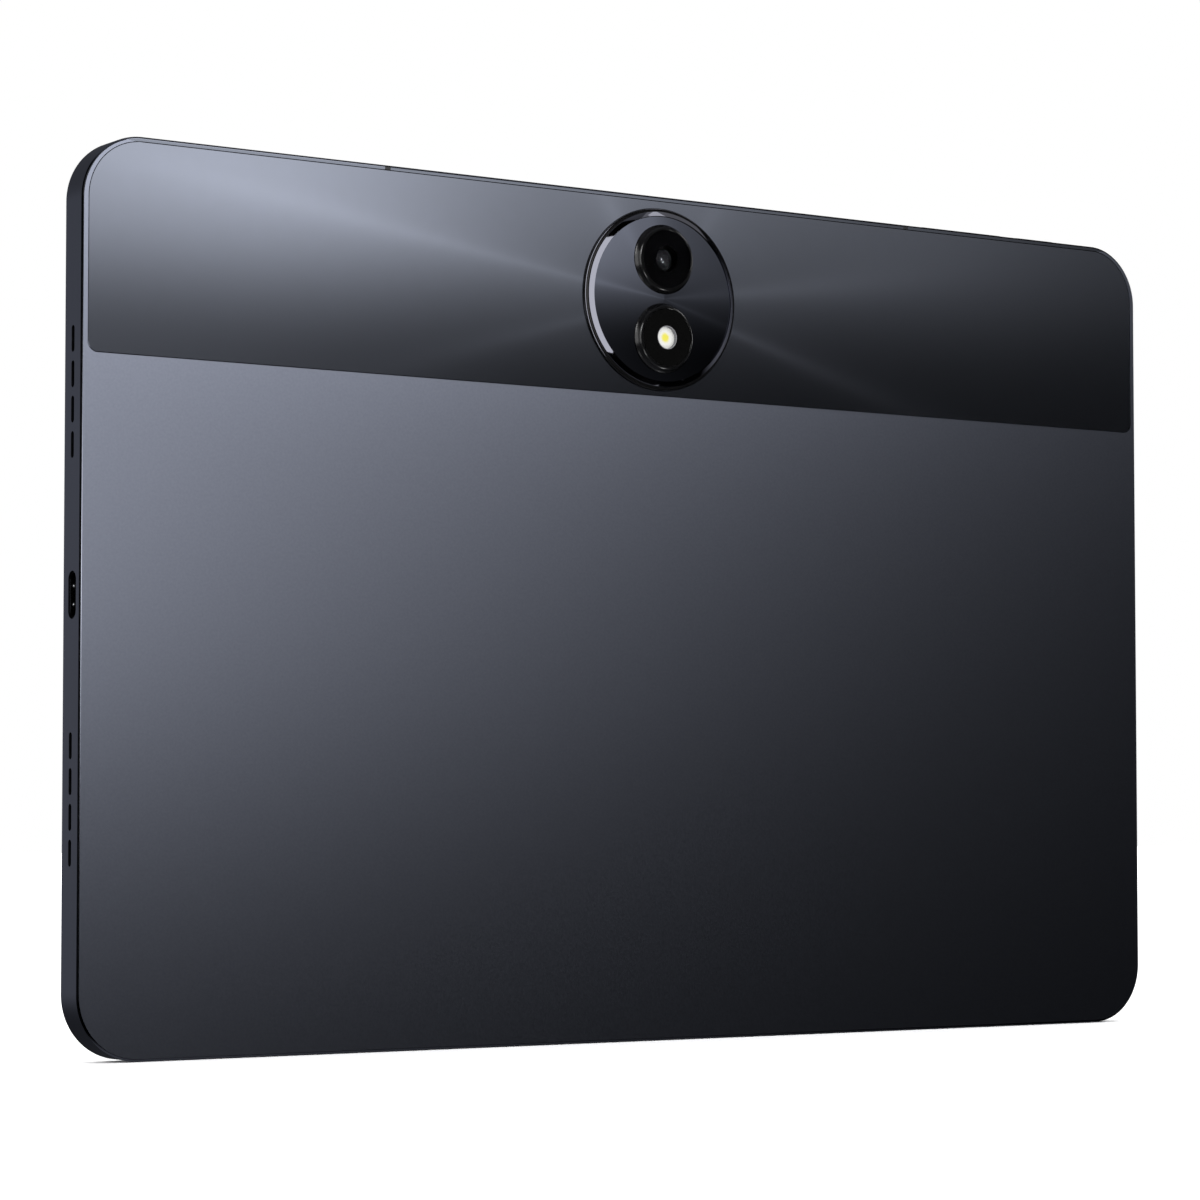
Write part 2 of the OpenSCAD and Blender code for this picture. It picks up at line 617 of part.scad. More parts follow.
module memory_card() color("#222326") stand()
    block([half_w - tray_len + 1.05, tray_y - card_w / 2, tray_z - tray_t / 2 + 0.15],
          [half_w - tray_len + 1.05 + card_len, tray_y + card_w / 2, tray_z + tray_t / 2 - 0.05]);

module screw(p, z, head) translate([p.x, p.y, z]) {
    translate([0, 0, -head]) cylinder(r = screw_head_r, h = head);
    cylinder(r = screw_r, h = 1.6);
}

module screws() color("#8f9297") stand() {
    for (p = board_screws) screw(p, z_board, 0.4);
    for (p = plate_screws) screw(p, z_plate, 0.25);
}

rear_housing();
antenna_rim();
antenna_splits();
band_carrier();
camera_band();
camera_ring();
camera_plate();
camera_bezel();
flash_bezel();
camera_window();
flash_window();
flash_lens();
flash_led();
flash_board();
camera_module();
lens_barrel();
image_sensor();
camera_flex();
cover_glass();
glass_gasket();
display_adhesive();
display_panel();
backlight_unit();
display_flex();
support_plate();
battery_cell_left();
battery_cell_right();
battery_adhesive();
battery_board();
battery_flex();
main_board();
processor();
memory_chips();
shield_can();
graphite_sheet();
board_connectors();
usb_board();
usb_receptacle();
usb_tongue();
side_flex();
speaker_upper_left();
speaker_lower_left();
speaker_upper_right();
speaker_lower_right();
speaker_meshes();
front_camera();
light_sensor();
microphones();
wifi_antenna_left();
wifi_antenna_right();
coax_cables();
power_button();
volume_rocker();
key_bracket();
key_switches();
key_flex();
card_tray();
card_reader();
memory_card();
screws();
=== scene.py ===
"""Looks of the tablet computer: its shell, camera band, lens island, screen side and small parts."""

import logging
import math
from dataclasses import dataclass
from enum import Enum
from typing import Any, Callable, Sequence

import bpy
from mathutils import Matrix, Vector


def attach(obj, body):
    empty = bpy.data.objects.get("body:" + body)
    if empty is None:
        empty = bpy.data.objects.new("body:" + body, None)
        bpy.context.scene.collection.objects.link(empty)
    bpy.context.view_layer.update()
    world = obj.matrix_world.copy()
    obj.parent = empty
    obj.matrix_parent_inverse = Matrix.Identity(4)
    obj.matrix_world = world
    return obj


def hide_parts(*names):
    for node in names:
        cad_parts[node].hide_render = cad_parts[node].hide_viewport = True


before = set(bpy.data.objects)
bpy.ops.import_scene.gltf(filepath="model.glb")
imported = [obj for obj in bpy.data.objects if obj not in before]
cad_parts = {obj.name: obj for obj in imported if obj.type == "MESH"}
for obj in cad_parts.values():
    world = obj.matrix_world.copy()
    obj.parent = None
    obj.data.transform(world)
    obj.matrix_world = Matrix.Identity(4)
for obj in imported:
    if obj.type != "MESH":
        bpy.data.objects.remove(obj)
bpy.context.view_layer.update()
LOG = logging.getLogger("tablet")
MM = 0.001
# Heights above the floor in mm: the middles of the body, the lens island, the lens and the flash.
HALF_HEIGHT = 87.3
DISC_HEIGHT = 153.0
LENS_HEIGHT = 161.17
FLASH_HEIGHT = 144.83
# How near in mm a point must be to a level to count as on it.
TOUCH = 1e-3
# Flat faces larger than this, in square metres, stay unsmoothed, so that each mirrors as one plane.
FLAT_AREA = 40 * MM * MM
# A normal with a part larger than this lies along an axis.
ALONG_AXIS = 0.99999
# The range that a noise texture's values seldom leave.
NOISE_LOW, NOISE_HIGH = 0.3, 0.7
# The two raised bezels, which share their lamps.
BEZELS = ("lens_bezel", "flash_surround")
# The lens and its window, which share their glints.
LENS = ("front_element", "lens_window")

Point = tuple[float, float, float]
Profile = Sequence[tuple[float, float]]
Tree = bpy.types.NodeTree
Node = bpy.types.Node
Socket = bpy.types.NodeSocket
Piece = bpy.types.Object


class Axis(Enum):
    """Direction that a hole is drilled in."""

    X = "X"
    Z = "Z"


class Kind(Enum):
    """What a selection in edit mode is made of."""

    VERT = "VERT"
    EDGE = "EDGE"
    FACE = "FACE"


class Join(Enum):
    """How a boolean joins two solids."""

    CUT = "DIFFERENCE"
    KEEP = "INTERSECT"
    WELD = "UNION"


def linear(colour: str) -> tuple[float, float, float, float]:
    """Turns an sRGB hex colour into linear RGBA.

    Args:
        colour: Six hex digits with a leading hash sign.

    Returns:
        Linear red, green, blue and an alpha of one.
    """
    parts = [int(colour[i : i + 2], 16) / 255 for i in (1, 3, 5)]
    flat = [c / 12.92 if c <= 0.04045 else ((c + 0.055) / 1.055) ** 2.4 for c in parts]
    return (flat[0], flat[1], flat[2], 1.0)


def node(tree: Tree, kind: str, inputs: dict[str | int, Any] | None = None, **settings: Any) -> Node:
    """Adds a shader node with its settings, values and links.

    Args:
        tree: Node tree that gets the node.
        kind: Blender's name for the node type.
        inputs: Socket name or number, and the value or output socket it takes.
        settings: Attributes of the node, such as its operation.

    Returns:
        The new node.
    """
    new = tree.nodes.new(kind)
    for name, value in settings.items():
        setattr(new, name, value)
    for key, value in (inputs or {}).items():
        if isinstance(value, Socket):
            tree.links.new(value, new.inputs[key])
        else:
            new.inputs[key].default_value = value
    return new


def bare(owner: bpy.types.Material | bpy.types.World) -> Tree:
    """Turns on the nodes of a material or world.

    Args:
        owner: The material or world.

    Returns:
        Its node tree, emptied.
    """
    owner.use_nodes = True
    owner.node_tree.nodes.clear()
    return owner.node_tree


def span(value: Socket, start: float, end: float, low: float, high: float) -> dict[str | int, Any]:
    """Returns the inputs that take value from start and end to low and high."""
    return {"Value": value, "From Min": start, "From Max": end, "To Min": low, "To Max": high}


def reach_from(tree: Tree, place: Socket, height: float) -> tuple[Socket, Socket]:
    """Measures how far a place is from an axis along Y.

    Args:
        tree: The material's node tree.
        place: Object coordinates in metres.
        height: Height of the axis in mm.

    Returns:
        The vector from the axis, and the distance from it.
    """
    middle = (0, 0, height * MM)
    away = node(tree, "ShaderNodeVectorMath", {0: place, 1: middle}, operation="SUBTRACT").outputs[0]
    flat = node(tree, "ShaderNodeVectorMath", {0: away, 1: (1, 0, 1)}, operation="MULTIPLY").outputs[0]
    return away, node(tree, "ShaderNodeVectorMath", {0: flat}, operation="LENGTH").outputs["Value"]


# --------------------------------------------------------------------------- finishes


@dataclass(frozen=True)
class Finish:
    """One real material with its fine unevenness.

    Colours are sRGB hex, grain is the size of the unevenness and relief its depth, both in mm.
    """

    name: str
    colour: str
    tint: str
    metallic: float = 0.0
    roughness: float = 0.5
    drift: float = 0.05
    grain: float = 0.4
    relief: float = 0.004
    ior: float = 1.5

    @property
    def scale(self) -> float:
        """Returns the texture scale whose blotches are as wide as the grain."""
        return 1.0 / (self.grain * MM)

    def shade(self) -> bpy.types.Material:
        """Builds the material, or returns it if an earlier piece did.

        Returns:
            The material with its nodes.
        """
        known = bpy.data.materials.get(self.name)
        if known:
            return known
        made = bpy.data.materials.new(self.name)
        tree = bare(made)
        place = node(tree, "ShaderNodeTexCoord").outputs["Object"]
        shader = node(tree, "ShaderNodeBsdfPrincipled", {"Metallic": self.metallic})
        if self.metallic < 0.5:
            shader.inputs["IOR"].default_value = self.ior
        self.surface(tree, place, shader)
        node(tree, "ShaderNodeOutputMaterial", {"Surface": shader.outputs["BSDF"]})
        return made

    def surface(self, tree: Tree, place: Socket, shader: Node) -> None:
        """Links the colour, roughness and relief of an evenly grained surface.

        Args:
            tree: The material's node tree.
            place: Object coordinates in metres.
            shader: The principled shader.
        """
        noise = node(tree, "ShaderNodeTexNoise", {"Vector": place, "Scale": self.scale, "Detail": 3.0})
        self.dress(tree, shader, noise.outputs["Fac"], noise.outputs["Fac"])

    def dress(self, tree: Tree, shader: Node, blend: Socket, height: Socket) -> None:
        """Links blend to colour and roughness, and height to a fine relief.

        Args:
            tree: The material's node tree.
            shader: The principled shader.
            blend: Share of the tint in the colour, from 0 to 1.
            height: Height of the relief, from 0 to 1.
        """
        colours = {0: blend, 6: linear(self.colour), 7: linear(self.tint)}
        mix = node(tree, "ShaderNodeMix", colours, data_type="RGBA")
        tree.links.new(mix.outputs[2], shader.inputs["Base Color"])
        if self.drift:
            low, high = max(self.roughness - self.drift, 0.0), self.roughness + self.drift
            rough = node(tree, "ShaderNodeMapRange", span(blend, NOISE_LOW, NOISE_HIGH, low, high))
            tree.links.new(rough.outputs["Result"], shader.inputs["Roughness"])
        else:
            shader.inputs["Roughness"].default_value = self.roughness
        if self.relief:
            depth = {"Height": height, "Distance": self.relief * MM, "Strength": 1.0}
            bump = node(tree, "ShaderNodeBump", depth)
            tree.links.new(bump.outputs["Normal"], shader.inputs["Normal"])


@dataclass(frozen=True)
class TurnedMetal(Finish):
    """Metal faced on a lathe: fine rings about the lens island's middle."""

    def surface(self, tree: Tree, place: Socket, shader: Node) -> None:
        """Links rings whose spacing is the grain.

        Args:
            tree: The material's node tree.
            place: Object coordinates in metres.
            shader: The principled shader.
        """
        _, reach = reach_from(tree, place, DISC_HEIGHT)
        lines = {"W": reach, "Scale": self.scale, "Detail": 2.0}
        rings = node(tree, "ShaderNodeTexNoise", lines, noise_dimensions="1D").outputs["Fac"]
        self.dress(tree, shader, rings, rings)


@dataclass(frozen=True)
class Ray:
    """One bright ray of the sunburst, painted into the colour as a painted highlight.

    angle is in degrees and reach, where it has faded out, in mm. It fades from a share of its reach.
    """

    angle: float
    spread: float
    gain: float
    reach: float
    fade_from: float = 0.3


@dataclass(frozen=True)
class FilmWithPaintedLight(Finish):
    """Clear plate over a metallised film embossed with a sunburst that meets under the lens island;
    its shine is painted in as painted highlights.

    Painted light scales the film's colour: it is floor out to near mm from the middle, and rises smoothly
    by rise until far mm from it.
    """

    # Painted highlights: bright streaks drawn into the film's colour.
    painted_rays: tuple[Ray, ...] = ()
    floor: float = 0.78
    rise: float = 0.30
    near: float = 30.0
    far: float = 105.0

    def surface(self, tree: Tree, place: Socket, shader: Node) -> None:
        """Links the film's colour, brighter along each ray and away from the middle.

        Args:
            tree: The material's node tree.
            place: Object coordinates in metres.
            Links the film's colour, with a painted highlight along each ray and painted light that
            brightens it away from the middle.
        """
        away, reach = reach_from(tree, place, DISC_HEIGHT)
        # Painted light: the film is drawn darker near the middle and brighter away from it.
        swell = span(reach, self.near * MM, self.far * MM, self.floor, self.floor + self.rise)
        total = node(tree, "ShaderNodeMapRange", swell, interpolation_type="SMOOTHSTEP").outputs["Result"]
        # Each ray adds a painted highlight.
        for ray in self.painted_rays:
            lit = self.ray(tree, away, reach, ray)
            total = node(tree, "ShaderNodeMath", {0: total, 1: lit}, operation="ADD").outputs[0]
        silk = node(tree, "ShaderNodeTexNoise", {"Vector": place, "Scale": self.scale, "Detail": 2.0})
        colours = {0: silk.outputs["Fac"], 6: linear(self.colour), 7: linear(self.tint)}
        mix = node(tree, "ShaderNodeMix", colours, data_type="RGBA").outputs[2]
        # The film's colour times the painted light.
        film = node(tree, "ShaderNodeVectorMath", {0: mix, "Scale": total}, operation="SCALE").outputs[0]
        tree.links.new(film, shader.inputs["Base Color"])
        shader.inputs["Roughness"].default_value = self.roughness

    def ray(self, tree: Tree, away: Socket, reach: Socket, ray: Ray) -> Socket:
        """Adds the nodes of one ray, a painted highlight.

        Args:
            tree: The material's node tree.
            away: Vector from the sunburst's middle.
            reach: Distance from the sunburst's middle.
            ray: The ray's shape.

        Returns:
            Socket with the painted highlight's gain at each place.
        """
        cosine, sine = math.cos(math.radians(ray.angle)), math.sin(math.radians(ray.angle))
        along, across = (
            node(tree, "ShaderNodeVectorMath", {0: away, 1: way}, operation="DOT_PRODUCT").outputs["Value"]
            for way in ((-cosine, 0, sine), (sine, 0, cosine))
        )
        # The floor under the distance keeps the slope finite beside the middle.
        ahead = node(tree, "ShaderNodeMath", {0: along, 1: 0.4 * MM}, operation="MAXIMUM").outputs[0]
        slope = node(tree, "ShaderNodeMath", {0: across, 1: ahead}, operation="DIVIDE").outputs[0]
        wide = node(tree, "ShaderNodeMath", {0: slope, 1: 1 / ray.spread}, operation="MULTIPLY").outputs[0]
        bell = node(tree, "ShaderNodeMath", {0: wide, 1: wide, 2: 1.0}, operation="MULTIPLY_ADD")
        height = {0: ray.gain, 1: bell.outputs[0]}
        peak = node(tree, "ShaderNodeMath", height, operation="DIVIDE").outputs[0]
        dying = span(reach, ray.fade_from * ray.reach * MM, ray.reach * MM, 1.0, 0.0)
        fade = node(tree, "ShaderNodeMapRange", dying, interpolation_type="SMOOTHSTEP").outputs["Result"]
        front = node(tree, "ShaderNodeMath", {0: along, 1: 0.0}, operation="GREATER_THAN").outputs[0]
        seen = node(tree, "ShaderNodeMath", {0: fade, 1: front}, operation="MULTIPLY").outputs[0]
        return node(tree, "ShaderNodeMath", {0: peak, 1: seen}, operation="MULTIPLY").outputs[0]


@dataclass(frozen=True)
class PhosphorGlow(Finish):
    """Milky plastic with the yellow die showing through its middle.

    The glow is full within core mm of the flash's middle and gone at edge mm, and wanders with the grain.
    """

    core: float = 0.75
    edge: float = 1.6
    wander: float = 0.5

    def surface(self, tree: Tree, place: Socket, shader: Node) -> None:
        """Links the tint to a blurred spot round the flash's middle.

        Args:
            tree: The material's node tree.
            place: Object coordinates in metres.
            shader: The principled shader.
        """
        _, reach = reach_from(tree, place, FLASH_HEIGHT)
        noise = node(tree, "ShaderNodeTexNoise", {"Vector": place, "Scale": self.scale, "Detail": 2.0})
        grain = noise.outputs["Fac"]
        wobble = {0: grain, 1: self.wander * MM, 2: reach}
        rough_reach = node(tree, "ShaderNodeMath", wobble, operation="MULTIPLY_ADD").outputs[0]
        spot = span(rough_reach, self.core * MM, self.edge * MM, 1.0, 0.0)
        blend = node(tree, "ShaderNodeMapRange", spot, interpolation_type="SMOOTHSTEP").outputs["Result"]
        self.dress(tree, shader, blend, grain)


@dataclass(frozen=True)
class ClearGlass(Finish):
    """Clear glass with faint smears on its surface."""

    def surface(self, tree: Tree, place: Socket, shader: Node) -> None:
        """Links faint smears to the roughness of a clear body.

        Args:
            tree: The material's node tree.
            place: Object coordinates in metres.
            shader: The principled shader.
        """
        shader.inputs["Transmission Weight"].default_value = 1.0
        smear = node(tree, "ShaderNodeTexNoise", {"Vector": place, "Scale": self.scale, "Detail": 2.0})
        self.dress(tree, shader, smear.outputs["Fac"], smear.outputs["Fac"])


@dataclass(frozen=True)
class CircuitBoard(Finish):
    """Solder-masked board: copper tracks under the mask and rows of bright pads.

    A track starts at a share of the way from a cell's middle to its edge.
    """

    track: tuple[float, float] = (0.34, 0.40)

    def surface(self, tree: Tree, place: Socket, shader: Node) -> None:
        """Links square tracks and pads to the colour and the relief.

        Args:
            tree: The material's node tree.
            place: Object coordinates in metres.
            shader: The principled shader.
        """
        grid = {"Vector": place, "Scale": self.scale, "Randomness": 0.6}
        cells = node(tree, "ShaderNodeTexVoronoi", grid, distance="CHEBYCHEV").outputs["Distance"]
        track = node(tree, "ShaderNodeMapRange", span(cells, *self.track, 0.0, 1.0)).outputs["Result"]
        self.dress(tree, shader, track, track)


class Shop(Enum):
    """Every finish on the tablet, named for the real material and for the painted light and shade that some
    finishes carry.
    """

    # Bead-blasted, dyed anodised aluminium: satin, with a fine grain drawn at 0.5 mm so that it shows.
    BLASTED_ALUMINIUM = Finish(
        "bead_blasted_anodised_aluminium", "#9095A5", "#9EA3B3", 1.0, 0.351, 0.018, 0.5, 0.0015
    )
    # Narrow land between the band and the camera edge, cut smooth: a dim mirror beside the satin face.
    EDGE_RIM = Finish("polished_anodised_rim", "#62666F", "#666A74", 1.0, 0.14, 0.01, 0.5, 0.0)
    # Edge cut with a diamond tool after blasting: nearly a mirror, so a thin dark or light line.
    CUT_CHAMFER = Finish(
        "diamond_cut_aluminium_chamfer", "#8C909C", "#9296A2", 1.0, 0.12, 0.02, 0.5, 0.0
    )
    # Milled inner wall: the same metal, rougher, and drawn dark as painted shade where no light reaches.
    MILLED_ALUMINIUM = Finish(
        "milled_aluminium_with_painted_shade", "#3A3C42", "#46484F", 1.0, 0.45, 0.06, 0.6, 0.003
    )
    # Radio-clear filled resin in the splits: near black and matt.
    SPLIT_RESIN = Finish("filled_resin_antenna_split", "#101114", "#17181B", 0.0, 0.45, 0.05, 0.3, 0.002)
    # Acrylic plate over a metallised sunburst film: a deep slate mirror. Its soft sunburst and its
    # brightening away from the island are painted in as painted highlights and painted light.
    SUNBURST_BAND = FilmWithPaintedLight(
        "acrylic_over_film_with_painted_sunburst", "#6B6F79", "#6D717C", 0.98, 0.08, 0.0, 3.0, 0.0,
        painted_rays=(
            Ray(172, 0.035, 0.27, 170), Ray(173, 0.16, 0.20, 170), Ray(8, 0.07, 0.38, 110),
            Ray(344, 0.045, 0.62, 120), Ray(196, 0.05, 0.30, 110), Ray(124, 0.12, 0.24, 45),
            Ray(54, 0.10, 0.14, 45),
        ),
    )
    # The same film under the domed face of the lens island, with a tighter sunburst painted in as painted
    # highlights.
    SUNBURST_DISC = FilmWithPaintedLight(
        "domed_acrylic_over_film_with_painted_sunburst", "#6C707D", "#6E727F", 1.0, 0.05, 0.0, 3.0, 0.0, floor=0.34,
        painted_rays=(
            Ray(172, 0.05, 0.30, 170), Ray(8, 0.10, 0.20, 110), Ray(344, 0.06, 0.20, 120),
            Ray(165, 1.1, 0.28, 400), Ray(100, 0.20, 0.15, 60), Ray(124, 0.12, 0.12, 60),
        ),
    )
    # Turned and polished aluminium ring: fine lathe lines 0.15 mm apart, bright bevel.
    TURNED_RING = TurnedMetal(
        "turned_polished_aluminium_ring", "#A4A5B2", "#ABACB8", 1.0, 0.05, 0.005, 0.15, 0.0
    )
    # Black oxide on steel bezels: glossy black with soft shoulders. The same black is painted on the ring's
    # outer step as painted shade.
    BLACK_BEZEL = Finish("black_oxide_bezel_and_painted_shade", "#060607", "#0A0A0B", 0.0, 0.2, 0.02, 0.5, 0.0, 1.6)
    # Black back-painted pane with an anti-reflective coat, so it mirrors almost nothing.
    BLACK_PANE = Finish("black_backed_coated_glass", "#060606", "#080808", 0.0, 0.05, 0.0, 1.0, 0.0, 1.16)
    # Clear window with an anti-reflective coat, so its index is drawn low.
    WINDOW_GLASS = ClearGlass(
        "anti_reflective_window_glass", "#F4F6F8", "#FFFFFF", 0.0, 0.02, 0.0, 4.0, 0.0, 1.17
    )
    # Black ink printed under glass: swallows all light.
    BLACK_INK = Finish("black_print_under_glass", "#050506", "#070708", 0.0, 0.5, 0.05, 0.5, 0.0, 1.03)
    # Opal polycarbonate over the flash: milky white, with the yellow die glowing through.
    OPAL_DIFFUSER = PhosphorGlow(
        "opal_polycarbonate_diffuser", "#C8C8C4", "#C6BE3E", 0.0, 0.35, 0.0, 0.5, 0.0, 1.45
    )
    # Moulded collar round the diffuser, drawn grey as painted shade in the flash's recess.
    GREY_COLLAR = Finish("collar_with_painted_shade", "#6A6A6E", "#737377", 0.0, 0.5, 0.05, 0.3, 0.0)
    # Phosphor over the flash die: lemon yellow.
    PHOSPHOR = Finish("yellow_led_phosphor", "#E9E04A", "#F1E96A", 0.0, 0.6, 0.05, 0.2, 0.003)
    # Polyimide ribbon: amber with faint copper under it.
    POLYIMIDE = Finish("amber_polyimide_ribbon", "#8A4F17", "#B06A22", 0.0, 0.32, 0.05, 0.8, 0.004, 1.6)
    # Nickel on the port's shell, drawn near black as painted shade: it looks black inside.
    DARK_NICKEL = Finish("nickel_plated_steel_with_painted_shade", "#2A2B2E", "#34353A", 1.0, 0.3, 0.05, 0.5, 0.002)
    # Hard gold on contact pads.
    HARD_GOLD = Finish("hard_gold_plating", "#D8B25A", "#E4C273", 1.0, 0.24, 0.04, 0.4, 0.001)
    # Stamped steel cans and brackets, dull silver.
    STAMPED_STEEL = Finish("stamped_stainless_steel", "#A9ABAE", "#BDBFC2", 1.0, 0.32, 0.06, 0.8, 0.002)
    # Black moulded lens barrel and the small camera's body.
    LENS_RESIN = Finish("moulded_black_lens_resin", "#050506", "#0A0A0B", 0.0, 0.4, 0.05, 0.3, 0.002)
    # Coated front element of the lens: dark grey glass.
    COATED_LENS = Finish("coated_optical_glass", "#1E1E20", "#232325", 0.0, 0.03, 0.0, 1.0, 0.0, 1.7)
    # Glass-fibre board under green solder mask, cells 1.6 mm.
    FR4_BOARD = CircuitBoard("solder_masked_fr4_board", "#14301F", "#1F4A2E", 0.0, 0.35, 0.04, 1.6, 0.02)
    # Cover glass of the screen.
    COVER_GLASS = ClearGlass(
        "toughened_cover_glass", "#F8FAFB", "#FFFFFF", 0.0, 0.015, 0.0, 60.0, 0.0, 1.51
    )
    # Liquid crystal panel switched off: near black behind the glass.
    DARK_PANEL = Finish("unlit_liquid_crystal_panel", "#060709", "#08090C", 0.0, 0.25, 0.02, 0.3, 0.0, 1.5)
    # Stacked white film of the backlight.
    BACKLIGHT_FILM = Finish("white_backlight_film", "#D9DCDF", "#E6E8EA", 0.0, 0.4, 0.05, 2.0, 0.001)
    # Double-sided tape, milky.
    MILKY_TAPE = Finish("double_sided_tape", "#D2D2CC", "#E2E2DD", 0.0, 0.6, 0.05, 0.8, 0.004)
    # Cold-rolled steel sheet, with long rolling streaks.
    ROLLED_STEEL = Finish("cold_rolled_steel_sheet", "#8B9096", "#A3A8AD", 1.0, 0.36, 0.06, 2.5, 0.002)
    # Aluminised pouch film printed black.
    POUCH_FILM = Finish("black_aluminised_pouch_film", "#141518", "#1E1F23", 0.0, 0.38, 0.08, 6.0, 0.12)
    # Moulded epoxy over a chip: charcoal with fine speckle.
    CHIP_EPOXY = Finish("moulded_chip_epoxy", "#1D1E21", "#28292D", 0.0, 0.55, 0.05, 0.15, 0.003)
    # Rolled graphite foil: dark grey with a silky sheen.
    GRAPHITE_FOIL = Finish("rolled_graphite_foil", "#2B2D31", "#3A3C41", 0.6, 0.42, 0.05, 1.5, 0.006)
    # Liquid crystal polymer connector bodies, black or brown.
    CONNECTOR_RESIN = Finish("moulded_connector_resin", "#17171A", "#202023", 0.0, 0.42, 0.05, 0.3, 0.003)
    # Glass-filled speaker box.
    SPEAKER_RESIN = Finish("glass_filled_speaker_resin", "#1A1B1E", "#232427", 0.0, 0.5, 0.06, 0.5, 0.006)
    # Woven acoustic mesh: black.
    ACOUSTIC_MESH = Finish("woven_acoustic_mesh", "#060607", "#0B0B0C", 0.0, 0.7, 0.05, 0.2, 0.004)
    # Gilded can of a tiny microphone.
    GILDED_CAN = Finish("gilded_microphone_can", "#B89B55", "#CBAF68", 1.0, 0.3, 0.05, 0.4, 0.002)
    # Fluoropolymer jacket of the coaxial lead.
    CABLE_JACKET = Finish("fluoropolymer_cable_jacket", "#1C1D20", "#25262A", 0.0, 0.35, 0.05, 0.5, 0.003)
    # Zinc-plated screw steel.
    SCREW_STEEL = Finish("zinc_plated_screw_steel", "#85888D", "#9B9EA3", 1.0, 0.3, 0.06, 0.4, 0.003)
    # Soft black silicone gasket round the screen glass.
    SILICONE = Finish("black_silicone_gasket", "#0C0D0E", "#131415", 0.0, 0.6, 0.05, 0.5, 0.003)

    def shade(self) -> bpy.types.Material:
        """Returns the finish's material."""
        return self.value.shade()


# --------------------------------------------------------------------------- workbench


